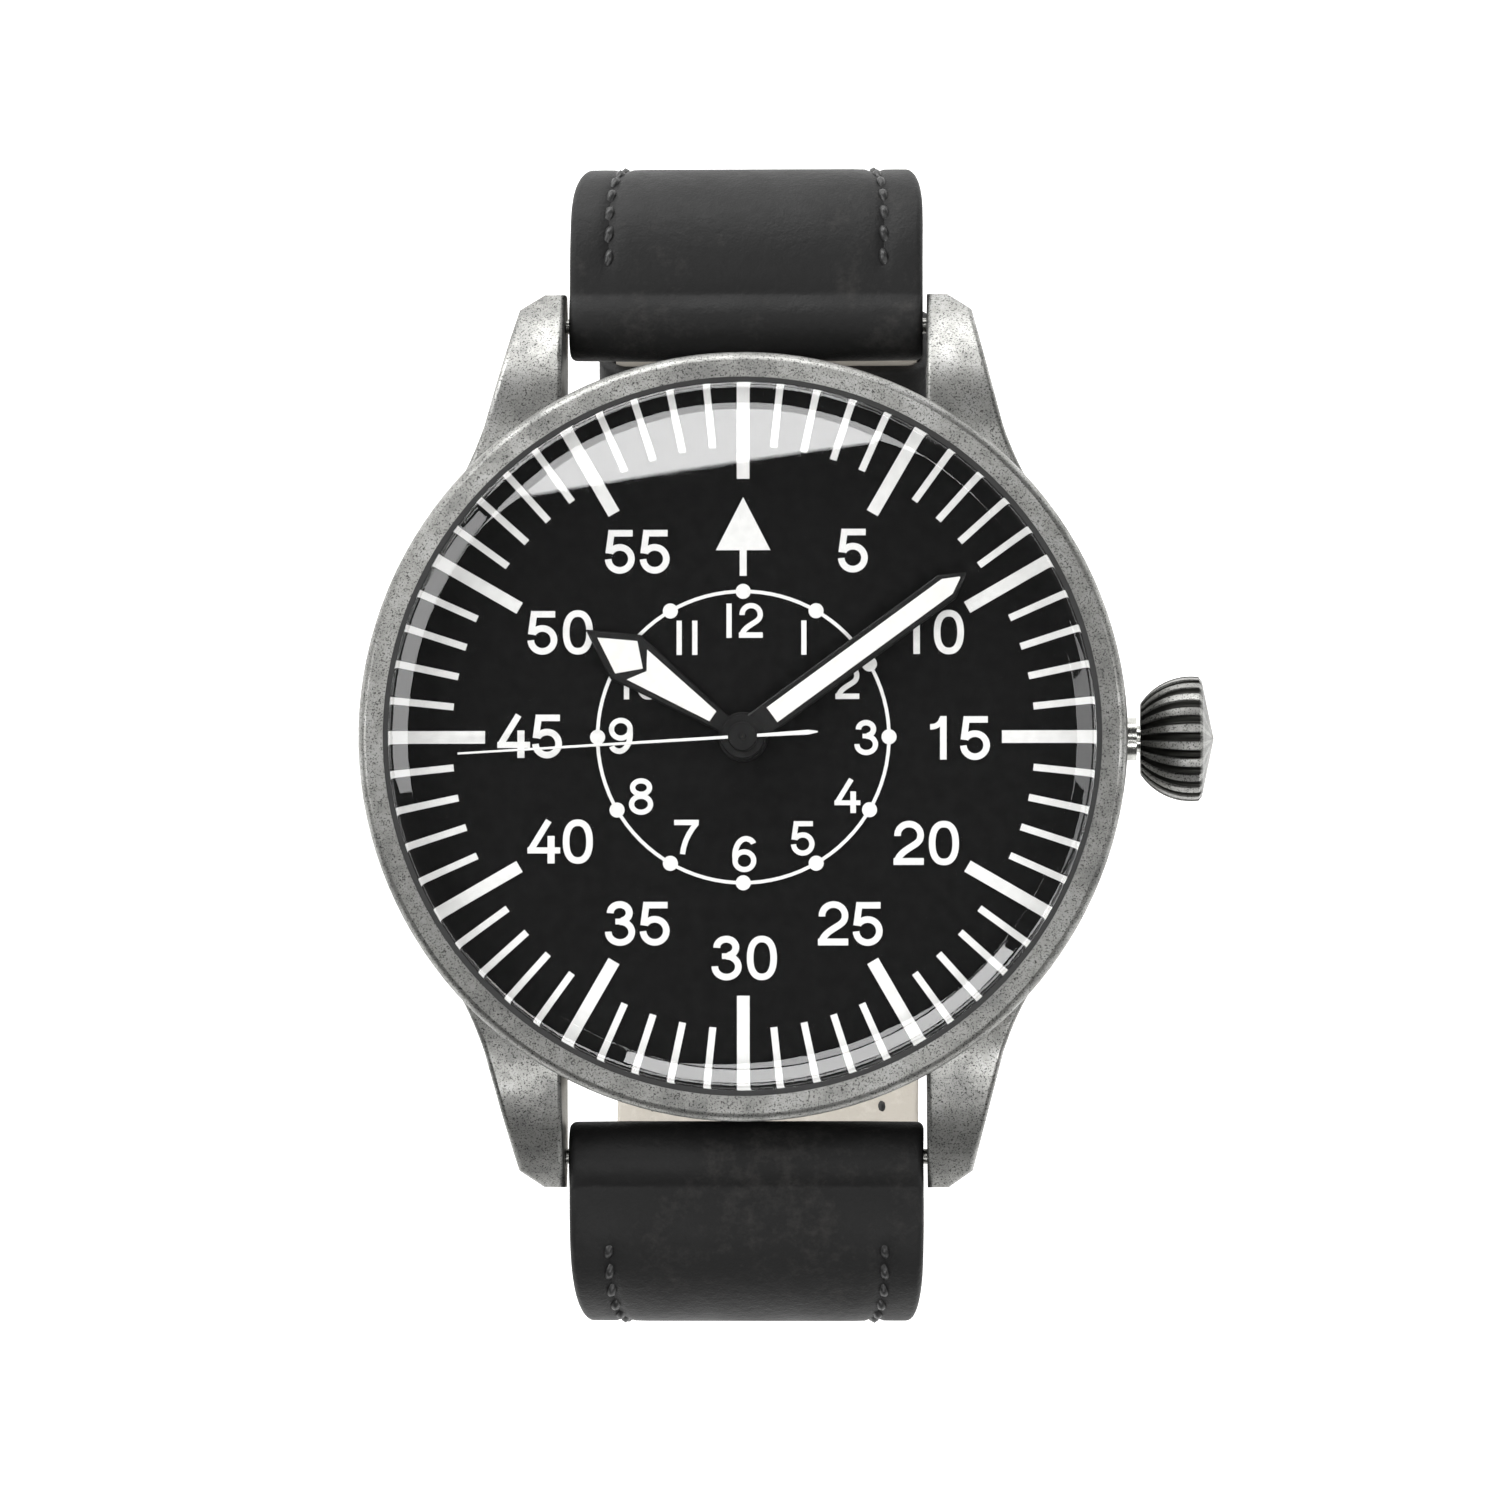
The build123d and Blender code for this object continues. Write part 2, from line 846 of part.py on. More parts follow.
with BuildPart() as hour_hand_lume:
    with BuildSketch(hand_plane(hour_hand_angle, hour_hand_level + hand_thickness)):
        hand_outline(hour_lume_points)
        hand_outline(hour_lume_tip_points)
    extrude(amount=-lume_thickness)
save(hour_hand_lume, "hour_hand_lume")

with BuildPart() as minute_hand:
    with BuildSketch(hand_plane(minute_hand_angle, minute_hand_level)):
        hand_outline(minute_frame_points)
        Circle(minute_hub_radius)
        Circle(cannon_tube_radius, mode=Mode.SUBTRACT)
    extrude(amount=hand_thickness)
    with BuildSketch(hand_plane(minute_hand_angle, minute_hand_level + hand_thickness)):
        hand_outline(minute_lume_points)
        offset(amount=lume_gap, kind=Kind.INTERSECTION)
    extrude(amount=-lume_thickness, mode=Mode.SUBTRACT)
save(minute_hand, "minute_hand")

with BuildPart() as minute_hand_lume:
    with BuildSketch(hand_plane(minute_hand_angle, minute_hand_level + hand_thickness)):
        hand_outline(minute_lume_points)
    extrude(amount=-lume_thickness)
save(minute_hand_lume, "minute_hand_lume")

with BuildPart() as second_hand:
    with BuildSketch(hand_plane(second_hand_angle, second_hand_level)):
        Polygon(
            (0, second_half),
            (second_tip, second_tip_half),
            (second_tip, -second_tip_half),
            (0, -second_half),
            align=None,
        )
        Polygon(
            (0, second_tail_root_half),
            (-second_tail_shoulder, second_tail_half),
            (-second_tail, 0),
            (-second_tail_shoulder, -second_tail_half),
            (0, -second_tail_root_half),
            align=None,
        )
        Circle(second_hub_radius)
    extrude(amount=hand_thickness)
    with BuildSketch(Plane.XY.offset(second_hand_level + hand_thickness)):
        Circle(second_cap_radius)
    extrude(amount=second_cap_height)
save(second_hand, "second_hand")


# Movement: shapes that repeat


# Share of a tooth's pitch, and share of its height, of the points of one tooth
tooth_shares = ((0, 1), (0.25, 1), (0.4, 0), (0.85, 0))


def gear_outline(teeth, pitch_radius):
    """Toothed outline with its tips just inside the pitch circle, so that wheels turn free."""
    height = tooth_share * 2 * pitch_radius / teeth
    points = []
    for tooth in range(teeth):
        for turn_share, depth_share in tooth_shares:
            turn = 360 * (tooth + turn_share) / teeth
            points.append(polar(pitch_radius - tooth_gap - depth_share * height, turn))
    Polygon(*points, align=None)


def spoked_wheel(teeth, pitch_radius, bore):
    """Toothed rim with spokes and a hub round a bore."""
    gear_outline(teeth, pitch_radius)
    Circle(pitch_radius - rim_width, mode=Mode.SUBTRACT)
    with PolarLocations(0, spoke_count):
        with Locations((pitch_radius / 2 - rim_width / 4, 0)):
            Rectangle(pitch_radius - rim_width / 2, spoke_width)
    Circle(hub_radius)
    if bore > 0:
        Circle(bore, mode=Mode.SUBTRACT)


def solid_arbor(place, low, high):
    """Arbor between two levels at a place, with a pivot at each end."""
    with BuildPart() as arbor:
        with Locations((*place, (low + high) / 2)):
            Cylinder(arbor_radius, high - low)
            Cylinder(pivot_radius, high - low + 2 * pivot_length)
    return arbor.part


def spiral_outline(inner, outer, turns, width):
    """Band of a width wound as a flat spiral between two radii."""
    steps = turns * spiral_steps
    inside = []
    outside = []
    for step in range(steps + 1):
        radius = inner + (outer - width - inner) * step / steps
        inside.append(polar(radius, 360 * step / spiral_steps))
        outside.append(polar(radius + width, 360 * step / spiral_steps))
    Polygon(*inside, *reversed(outside), align=None)


with BuildPart() as center_wheel:
    with BuildSketch(Plane.XY.offset(center_level)):
        spoked_wheel(center_teeth, center_radius, center_bore)
    extrude(amount=wheel_thickness)
    with BuildSketch(Plane.XY.offset(barrel_teeth_level - touch_gap)):
        gear_outline(center_pinion_teeth, center_pinion_radius)
        Circle(center_bore, mode=Mode.SUBTRACT)
    extrude(amount=arbor_top - barrel_teeth_level)
    with BuildSketch(Plane.XY.offset(center_level)):
        Circle(center_arbor_radius)
        Circle(center_bore, mode=Mode.SUBTRACT)
    extrude(amount=center_arbor_top - center_level)
save(center_wheel, "center_wheel")

with BuildPart() as cannon_pinion:
    with BuildSketch(Plane.XY.offset(motion_level)):
        gear_outline(cannon_teeth, cannon_pitch_radius)
        Circle(center_arbor_radius + pivot_gap, mode=Mode.SUBTRACT)
    extrude(amount=cannon_gear_height)
    with BuildSketch(Plane.XY.offset(motion_level)):
        Circle(cannon_tube_radius)
        Circle(center_arbor_radius + pivot_gap, mode=Mode.SUBTRACT)
    extrude(amount=minute_hand_level + hand_thickness - motion_level)
save(cannon_pinion, "cannon_pinion")

with BuildPart() as hour_wheel:
    with BuildSketch(Plane.XY.offset(hour_wheel_level)):
        spoked_wheel(hour_wheel_teeth, hour_wheel_pitch, 0)
        Circle(hour_tube_radius)
        Circle(hour_tube_bore, mode=Mode.SUBTRACT)
    extrude(amount=wheel_thickness)
    with BuildSketch(Plane.XY.offset(hour_wheel_level)):
        Circle(hour_tube_radius)
        Circle(hour_tube_bore, mode=Mode.SUBTRACT)
    extrude(amount=hour_hand_level + hand_thickness - hour_wheel_level)
save(hour_wheel, "hour_wheel")

with BuildPart() as minute_wheel:
    with BuildSketch(Plane.XY.offset(motion_level)):
        with Locations(minute_wheel_place):
            spoked_wheel(minute_wheel_teeth, minute_wheel_pitch, minute_post_radius + pivot_gap)
    extrude(amount=wheel_thickness)
    with BuildSketch(Plane.XY.offset(motion_level + wheel_thickness)):
        with Locations(minute_wheel_place):
            gear_outline(minute_pinion_teeth, minute_pinion_pitch)
            Circle(minute_post_radius + pivot_gap, mode=Mode.SUBTRACT)
    extrude(amount=motion_pinion_top - motion_level - wheel_thickness)
save(minute_wheel, "minute_wheel")

with BuildPart() as fourth_wheel:
    with BuildSketch(Plane.XY.offset(fourth_level)):
        spoked_wheel(fourth_teeth, fourth_radius, 0)
    extrude(amount=wheel_thickness)
    with BuildSketch(Plane.XY.offset(fourth_level + wheel_thickness)):
        gear_outline(fourth_pinion_teeth, fourth_pinion_radius)
    extrude(amount=center_level - touch_gap - fourth_level - wheel_thickness)
    with BuildSketch(Plane.XY.offset(fourth_level)):
        Circle(fourth_arbor_radius)
    extrude(amount=second_hand_level - fourth_level)
    with BuildSketch(Plane.XY.offset(fourth_level)):
        Circle(pivot_radius)
    extrude(amount=-pivot_length)
save(fourth_wheel, "fourth_wheel")

with BuildPart() as third_wheel:
    with BuildSketch(Plane.XY.offset(third_level)):
        with Locations(third_place):
            spoked_wheel(third_teeth, third_radius, 0)
    extrude(amount=wheel_thickness)
    with BuildSketch(Plane.XY.offset(third_level + wheel_thickness)):
        with Locations(third_place):
            gear_outline(third_pinion_teeth, third_pinion_radius)
    extrude(amount=center_level + wheel_thickness - third_level)
    add(solid_arbor(third_place, arbor_low, arbor_top))
save(third_wheel, "third_wheel")

with BuildPart() as escape_wheel:
    with BuildSketch(Plane.XY.offset(escape_level)):
        with Locations(escape_place):
            spoked_wheel(escape_teeth, escape_radius, 0)
    extrude(amount=wheel_thickness)
    with BuildSketch(Plane.XY.offset(arbor_low)):
        with Locations(escape_place):
            gear_outline(escape_pinion_teeth, escape_pinion_radius)
    extrude(amount=escape_pinion_top - arbor_low)
    add(solid_arbor(escape_place, arbor_low, arbor_top))
save(escape_wheel, "escape_wheel")

pallet_plane = Plane(
    origin=(*pallet_place, escape_level),
    x_dir=(*polar(1, pallet_angle - 180), 0),
    z_dir=(0, 0, 1),
)
pallet_turn = balance_angle - pallet_angle + 180

with BuildPart() as pallet_fork:
    with BuildSketch(pallet_plane):
        Rectangle(pallet_width, 2 * pallet_arm)
        for up in (1, -1):
            with Locations((pallet_stone_reach / 2, up * (pallet_arm - pallet_width / 2))):
                Rectangle(pallet_stone_reach, pallet_width)
        with Locations(Location((*polar(pallet_tail / 2, pallet_turn), 0), pallet_turn)):
            Rectangle(pallet_tail, pallet_width)
        Circle(pallet_hub_radius)
    extrude(amount=wheel_thickness)
    add(solid_arbor(pallet_place, pallet_bridge_top + touch_gap, arbor_top))
save(pallet_fork, "pallet_fork")


# Leather strap: the twelve o'clock half carries the buckle, the six o'clock half has the holes


def loop_run(side, layer, start):
    """Lines from the spring bar over the bend and down the side to the underside, for one layer face."""
    Line((side * start, bar_level + layer), (side * bend_y, bar_level + layer))
    CenterArc((side * bend_y, bend_level), bend_radius + layer, 90, -90 * side)
    Line((side * (loop_reach + layer), bend_level), (side * (loop_reach + layer), arc_level))
    CenterArc((side * arc_y, arc_level), loop_radius + layer, 90 - 90 * side, -90 * side)


def short_band(near, far, start, end):
    """Side view of one layer of the half that carries the buckle."""
    with BuildSketch() as band:
        with BuildLine():
            for layer in (near, far):
                loop_run(1, layer, start)
                Line((arc_y, under_level - layer), (end, under_level - layer))
            Line((start, bar_level + near), (start, bar_level + far))
            Line((end, under_level - near), (end, under_level - far))
        make_face()
    return band.sketch


def tail_point(layer):
    """End of the tail at a layer's distance from its centre line."""
    return beyond((arc_y, arc_level), tail_radius + layer, 270 + tail_angle)


def long_band(near, far, start):
    """Side view of one layer of the half with the holes, which dips outwards through the buckle."""
    with BuildSketch() as band:
        with BuildLine():
            for layer in (near, far):
                loop_run(-1, layer, start)
                Polyline(
                    (-arc_y, under_level - layer),
                    (-dip_start, under_level - layer),
                    (-dip_end, tail_level - layer),
                    (arc_y, tail_level - layer),
                )
                CenterArc((arc_y, arc_level), tail_radius + layer, 270, tail_angle)
            Line((-start, bar_level + near), (-start, bar_level + far))
            Line(tail_point(near), tail_point(far))
        make_face()
    return band.sketch


def tail_corners(edges):
    """The two edges through the strap's thickness at the corners of the tail's end."""
    tip = tail_point(0)
    return [
        e for e in edges
        if abs((e @ 0).X - (e @ 1).X) < touch_gap
        and abs(e.center().X) > strap_end_width / 3
        and e.length < strap_thickness
        and Vector(0, e.center().Y - tip[0], e.center().Z - tip[1]).length < half_thickness
    ]


def arc_hole_plane(center_y, turn, radius):
    """Plane square to the strap at an angle of one of its arcs, at the centre of its width."""
    point = beyond((center_y, arc_level), radius, turn)
    out = polar(1, turn)
    return Plane(origin=(0, point[0], point[1]), x_dir=(1, 0, 0), z_dir=(0, out[0], out[1]))


seam_offset = half_thickness - leather_thickness
block_width = strap_width + overrun
lining_start = bar_reach + roll_radius + lining_gap
lining_end = buckle_y + buckle_roll_radius + lining_gap
slot_width = tongue_width + 2 * tongue_slot_gap
taper_slope = (strap_width - strap_end_width) / 2 / strap_taper_drop
taper_high = strap_width / 2 + taper_slope * overrun

# Room inside the strap's width, which narrows evenly below the lugs and is even from there on
with BuildPart() as strap_room:
    with BuildSketch(Plane.XZ):
        Polygon(
            (-strap_end_width / 2, tail_level - overrun),
            (strap_end_width / 2, tail_level - overrun),
            (strap_end_width / 2, bar_level - strap_taper_drop),
            (taper_high, bar_level + overrun),
            (-taper_high, bar_level + overrun),
            (-strap_end_width / 2, bar_level - strap_taper_drop),
            align=None,
        )
    extrude(amount=loop_reach + overrun, both=True)

# Slot in the short half for the tongue's ring
with BuildPart() as ring_slot:
    with Locations((0, buckle_y, buckle_level)):
        Box(slot_width, 2 * (buckle_roll_radius + tongue_slot_gap), 2 * overrun)

# Slot of the hole in use, long enough for the tongue to cross the slanting strap, and the free holes
with BuildPart() as pin_holes:
    with Locations((0, -(tongue_slot_far + tongue_slot_near) / 2, (under_level + tail_level) / 2)):
        Box(slot_width, tongue_slot_far - tongue_slot_near, 2 * overrun)
    for step in range(1, hole_side_count + 1):
        ahead = step * hole_pitch - pin_reach
        ahead_plane = Plane((0, ahead, tail_level))
        if ahead > arc_y:
            ahead_turn = 270 + degrees((ahead - arc_y) / tail_radius)
            ahead_plane = arc_hole_plane(arc_y, ahead_turn, tail_radius)
        with BuildSketch(ahead_plane):
            Circle(hole_radius)
        extrude(amount=strap_thickness, both=True)
        behind_turn = 270 - degrees((step * hole_pitch + pin_reach - arc_y) / loop_radius)
        with BuildSketch(arc_hole_plane(-arc_y, behind_turn, loop_radius)):
            Circle(hole_radius)
        extrude(amount=strap_thickness, both=True)

with BuildPart() as strap_buckle_half:
    with BuildSketch(Plane.YZ):
        add(short_band(seam_offset, half_thickness, bar_reach, buckle_y))
        with Locations((bar_reach, bar_level)):
            Circle(roll_radius)
        with Locations((buckle_y, buckle_level)):
            Circle(buckle_roll_radius)
    extrude(amount=block_width / 2, both=True)
    add(strap_room.part, mode=Mode.INTERSECT)
    add(ring_slot.part, mode=Mode.SUBTRACT)
    with Locations((0, bar_reach, bar_level)):
        Cylinder(roll_bore, block_width, rotation=(0, 90, 0), mode=Mode.SUBTRACT)
    with Locations((0, buckle_y, buckle_level)):
        Cylinder(buckle_bar_bore, block_width, rotation=(0, 90, 0), mode=Mode.SUBTRACT)
save(strap_buckle_half, "strap_buckle_half")

with BuildPart() as strap_buckle_lining:
    with BuildSketch(Plane.YZ):
        add(short_band(-half_thickness, seam_offset, lining_start, lining_end))
    extrude(amount=block_width / 2, both=True)
    add(strap_room.part, mode=Mode.INTERSECT)
    add(ring_slot.part, mode=Mode.SUBTRACT)
save(strap_buckle_lining, "strap_buckle_lining")

with BuildPart() as strap_hole_half:
    with BuildSketch(Plane.YZ):
        add(long_band(seam_offset, half_thickness, bar_reach))
        with Locations((-bar_reach, bar_level)):
            Circle(roll_radius)
    extrude(amount=block_width / 2, both=True)
    add(strap_room.part, mode=Mode.INTERSECT)
    fillet(tail_corners(strap_hole_half.edges()), radius=tail_round)
    add(pin_holes.part, mode=Mode.SUBTRACT)
    with Locations((0, -bar_reach, bar_level)):
        Cylinder(roll_bore, block_width, rotation=(0, 90, 0), mode=Mode.SUBTRACT)
save(strap_hole_half, "strap_hole_half")

with BuildPart() as strap_hole_lining:
    with BuildSketch(Plane.YZ):
        add(long_band(-half_thickness, seam_offset, lining_start))
    extrude(amount=block_width / 2, both=True)
    add(strap_room.part, mode=Mode.INTERSECT)
    fillet(tail_corners(strap_hole_lining.edges()), radius=tail_round)
    add(pin_holes.part, mode=Mode.SUBTRACT)
save(strap_hole_lining, "strap_hole_lining")


# Spring bars, seated in the blind holes of the lugs

for side, bar_name in ((1, "spring_bar_12"), (-1, "spring_bar_6")):
    bar_axis = Axis((0, side * bar_reach, bar_level), (1, 0, 0))
    end_reach = spring_bar_length / 2 + spring_bar_tip_length
    with BuildPart() as spring_bar:
        with BuildSketch(Plane.YZ):
            with Locations((side * bar_reach, bar_level)):
                Circle(spring_bar_radius)
        extrude(amount=spring_bar_length / 2, both=True)
        with BuildSketch(Plane.YZ):
            with Locations((side * bar_reach, bar_level)):
                Circle(spring_bar_tip_radius)
        extrude(amount=end_reach, both=True)
    save(spring_bar, bar_name)


# Pin buckle: frame, bar and tongue turn about the bar at the end of the short half

frame_inner = strap_end_width / 2 + frame_gap
frame_outer = frame_inner + frame_arm

with BuildPart() as buckle_frame:
    with BuildSketch(Plane.YZ.offset(frame_inner)):
        with Locations((buckle_y, buckle_level)):
            Circle(frame_eye_radius)
        with Locations((-crossbar_far + crossbar_height / 2, floor_level + crossbar_height / 2)):
            Circle(crossbar_height / 2)
        make_hull()
    extrude(amount=frame_arm)
    mirror(about=Plane.YZ)
    with BuildSketch(Plane.XY.offset(floor_level)):
        with Locations((0, -(crossbar_far + crossbar_near) / 2)):
            Rectangle(2 * frame_outer, crossbar_far - crossbar_near)
    extrude(amount=crossbar_height)
    with BuildSketch(Plane.YZ):
        with Locations((buckle_y, buckle_level)):
            Circle(buckle_bar_bore)
    extrude(amount=frame_outer + overrun, both=True, mode=Mode.SUBTRACT)
    with BuildSketch(Plane.XY.offset(floor_level)):
        with Locations((0, -crossbar_far)):
            Rectangle(slot_width, 2 * overrun)
    extrude(amount=notch_depth, mode=Mode.SUBTRACT)
save(buckle_frame, "buckle_frame")

with BuildPart() as buckle_bar:
    with BuildSketch(Plane.YZ):
        with Locations((buckle_y, buckle_level)):
            Circle(buckle_bar_radius)
    extrude(amount=frame_outer, both=True)
save(buckle_bar, "buckle_bar")

with BuildPart() as buckle_tongue:
    with BuildSketch(Plane.YZ):
        with BuildLine():
            Polyline(
                (buckle_y, buckle_level + tongue_ring - tongue_thickness / 2),
                (-tongue_knee_reach, floor_level + tongue_floor + tongue_thickness),
                (-tongue_end_reach, floor_level + tongue_floor + tongue_thickness),
                (-tongue_end_reach, floor_level + tongue_floor),
                (-tongue_knee_reach - tongue_thickness / 3, floor_level + tongue_floor),
                (buckle_y, buckle_level - tongue_ring),
                close=True,
            )
        make_face()
        with Locations((buckle_y, buckle_level)):
            Circle(tongue_ring)
            Circle(buckle_bar_bore, mode=Mode.SUBTRACT)
    extrude(amount=tongue_width / 2, both=True)
save(buckle_tongue, "buckle_tongue")


# Keepers that hold the tail against the short half

keeper_low = floor_level + keeper_wall
keeper_high = under_level + half_thickness + keeper_gap
keeper_inner = strap_end_width / 2 + keeper_side_gap

with BuildPart() as fixed_keeper:
    with BuildSketch(Plane.XZ.offset(-fixed_keeper_start)):
        with Locations((0, (keeper_low + keeper_high) / 2)):
            RectangleRounded(
                2 * (keeper_inner + keeper_wall),
                keeper_high - keeper_low + 2 * keeper_wall,
                keeper_wall,
            )
            Rectangle(2 * keeper_inner, keeper_high - keeper_low, mode=Mode.SUBTRACT)
    extrude(amount=-(fixed_keeper_end - fixed_keeper_start))
save(fixed_keeper, "fixed_keeper")

keeper_near = loop_radius - half_thickness - keeper_gap
keeper_far = tail_radius + half_thickness + keeper_gap
keeper_turn = degrees(free_keeper_width / tail_radius)
arc_axis = Axis((0, arc_y, arc_level), (1, 0, 0))

keeper_start = polar(1, 270 + free_keeper_angle - keeper_turn / 2)
keeper_plane = Plane(
    origin=(0, arc_y, arc_level),
    x_dir=(1, 0, 0),
    z_dir=(0, keeper_start[1], -keeper_start[0]),
)

with BuildPart() as free_keeper:
    with BuildSketch(keeper_plane):
        with Locations((0, -(keeper_near + keeper_far) / 2)):
            RectangleRounded(
                2 * (keeper_inner + keeper_wall),
                keeper_far - keeper_near + 2 * keeper_wall,
                keeper_wall,
            )
            Rectangle(2 * keeper_inner, keeper_far - keeper_near, mode=Mode.SUBTRACT)
    revolve(axis=arc_axis, revolution_arc=keeper_turn)
save(free_keeper, "free_keeper")


# Movement: barrel, balance, winding work, plate and bridges

with BuildPart() as mainspring_barrel:
    with BuildSketch(Plane.XY.offset(barrel_teeth_level)):
        with Locations(barrel_place):
            gear_outline(barrel_teeth, barrel_pitch_radius)
            Circle(barrel_arbor_radius + pivot_gap, mode=Mode.SUBTRACT)
    extrude(amount=wheel_thickness)
    with BuildSketch(Plane.XY.offset(barrel_low)):
        with Locations(barrel_place):
            Circle(barrel_drum_radius)
            Circle(barrel_drum_radius - barrel_wall, mode=Mode.SUBTRACT)
    extrude(amount=barrel_teeth_level - barrel_low)
save(mainspring_barrel, "mainspring_barrel")

with BuildPart() as barrel_cover:
    with BuildSketch(Plane.XY.offset(barrel_low)):
        with Locations(barrel_place):
            Circle(barrel_drum_radius - barrel_wall)
            Circle(barrel_arbor_radius + pivot_gap, mode=Mode.SUBTRACT)
    extrude(amount=barrel_cover_thickness)
save(barrel_cover, "barrel_cover")

mainspring_low = barrel_low + barrel_cover_thickness + touch_gap
mainspring_height = barrel_teeth_level - touch_gap - mainspring_low
mainspring_outer = barrel_drum_radius - barrel_wall - touch_gap

with BuildPart() as mainspring:
    with BuildSketch(Plane.XY.offset(mainspring_low)):
        with Locations(barrel_place):
            spiral_outline(mainspring_inner, mainspring_outer, mainspring_turns, mainspring_width)
    extrude(amount=mainspring_height)
save(mainspring, "mainspring")

with BuildPart() as barrel_arbor:
    with BuildSketch(Plane.XY.offset(ratchet_low)):
        with Locations(barrel_place):
            Circle(barrel_arbor_radius)
    extrude(amount=barrel_arbor_top - ratchet_low)
    with BuildSketch(Plane.XY.offset(mainspring_low)):
        with Locations(barrel_place):
            Circle(mainspring_inner - 2 * pivot_gap)
    extrude(amount=mainspring_height)
save(barrel_arbor, "barrel_arbor")

with BuildPart() as ratchet_wheel:
    with BuildSketch(Plane.XY.offset(ratchet_low)):
        with Locations(barrel_place):
            gear_outline(ratchet_teeth, ratchet_pitch)
            Circle(barrel_arbor_radius, mode=Mode.SUBTRACT)
    extrude(amount=ratchet_thickness)
save(ratchet_wheel, "ratchet_wheel")

with BuildPart() as crown_wheel:
    with BuildSketch(Plane.XY.offset(ratchet_low)):
        with Locations(crown_wheel_place):
            gear_outline(crown_wheel_teeth, crown_wheel_pitch)
            Circle(crown_wheel_post_radius + pivot_gap, mode=Mode.SUBTRACT)
    extrude(amount=ratchet_thickness)
save(crown_wheel, "crown_wheel")

click_place = beyond(barrel_place, ratchet_pitch + click_offset, click_angle)
click_beak = beyond(barrel_place, ratchet_pitch + click_beak_offset, click_angle + click_lead)

with BuildPart() as click:
    with BuildSketch(Plane.XY.offset(ratchet_low)):
        with Locations(click_place):
            Circle(click_radius)
        with Locations(click_beak):
            Circle(click_beak_radius)
        make_hull()
        with Locations(click_place):
            Circle(click_post_radius + pivot_gap, mode=Mode.SUBTRACT)
    extrude(amount=ratchet_thickness)
save(click, "click")

with BuildPart() as balance_wheel:
    with BuildSketch(Plane.XY.offset(balance_level)):
        with Locations(balance_place):
            Circle(balance_radius)
            Circle(balance_radius - balance_rim, mode=Mode.SUBTRACT)
            Rectangle(2 * balance_radius - balance_rim, spoke_width)
            Circle(pallet_hub_radius)
    extrude(amount=balance_thickness)
    with BuildSketch(Plane.XY.offset(roller_level)):
        with Locations(balance_place):
            Circle(roller_radius)
    extrude(amount=roller_thickness)
    add(solid_arbor(balance_place, hairspring_low, arbor_top))
save(balance_wheel, "balance_wheel")

with BuildPart() as hairspring:
    with BuildSketch(Plane.XY.offset(hairspring_low)):
        with Locations(balance_place):
            spiral_outline(hairspring_inner, hairspring_outer, hairspring_turns, hairspring_width)
    extrude(amount=hairspring_height)
save(hairspring, "hairspring")

with BuildPart() as winding_pinion:
    with BuildSketch(Plane.YZ.offset(winding_pinion_start)):
        with Locations((0, stem_level)):
            gear_outline(winding_pinion_teeth, winding_pinion_radius)
            Circle(stem_radius + pivot_gap, mode=Mode.SUBTRACT)
    extrude(amount=winding_pinion_end - winding_pinion_start)
save(winding_pinion, "winding_pinion")

with BuildPart() as sliding_pinion:
    with BuildSketch(Plane.YZ.offset(clutch_start)):
        with Locations((0, stem_level)):
            Circle(clutch_radius)
            Circle(stem_radius + pivot_gap, mode=Mode.SUBTRACT)
    extrude(amount=clutch_end - clutch_start)
    with BuildSketch(Plane.YZ.offset(clutch_groove_reach - clutch_groove_width / 2)):
        with Locations((0, stem_level)):
            Circle(clutch_radius + touch_gap)
            Circle(clutch_groove_radius, mode=Mode.SUBTRACT)
    extrude(amount=clutch_groove_width, mode=Mode.SUBTRACT)
save(sliding_pinion, "sliding_pinion")

keyless_low = plate_top + touch_gap

with BuildPart() as yoke:
    with BuildSketch(Plane.XY.offset(keyless_low)):
        with Locations((clutch_groove_reach, -yoke_length / 2 + yoke_width / 2)):
            Rectangle(yoke_width, yoke_length)
    extrude(amount=keyless_thickness)
    with BuildSketch(Plane.XY.offset(keyless_low)):
        with Locations((clutch_groove_reach, 0)):
            Rectangle(yoke_pin_width, yoke_width)
    extrude(amount=-(keyless_low - stem_level - clutch_groove_radius - touch_gap))
save(yoke, "yoke")

with BuildPart() as setting_lever:
    with BuildSketch(Plane.XY.offset(keyless_low)):
        with Locations((stem_groove_reach, lever_pivot_reach)):
            Circle(lever_width / 2)
        with Locations((stem_groove_reach, 0)):
            Circle(lever_width / 2)
        make_hull()
        with Locations((stem_groove_reach, lever_pivot_reach)):
            Circle(lever_post_radius + pivot_gap, mode=Mode.SUBTRACT)
    extrude(amount=keyless_thickness)
    with BuildSketch(Plane.XY.offset(keyless_low)):
        with Locations((stem_groove_reach, 0)):
            Circle(lever_pin_radius)
    extrude(amount=-(keyless_low - stem_level - stem_groove_radius - touch_gap))
save(setting_lever, "setting_lever")

jewel_places = [third_place, escape_place, pallet_place, balance_place]

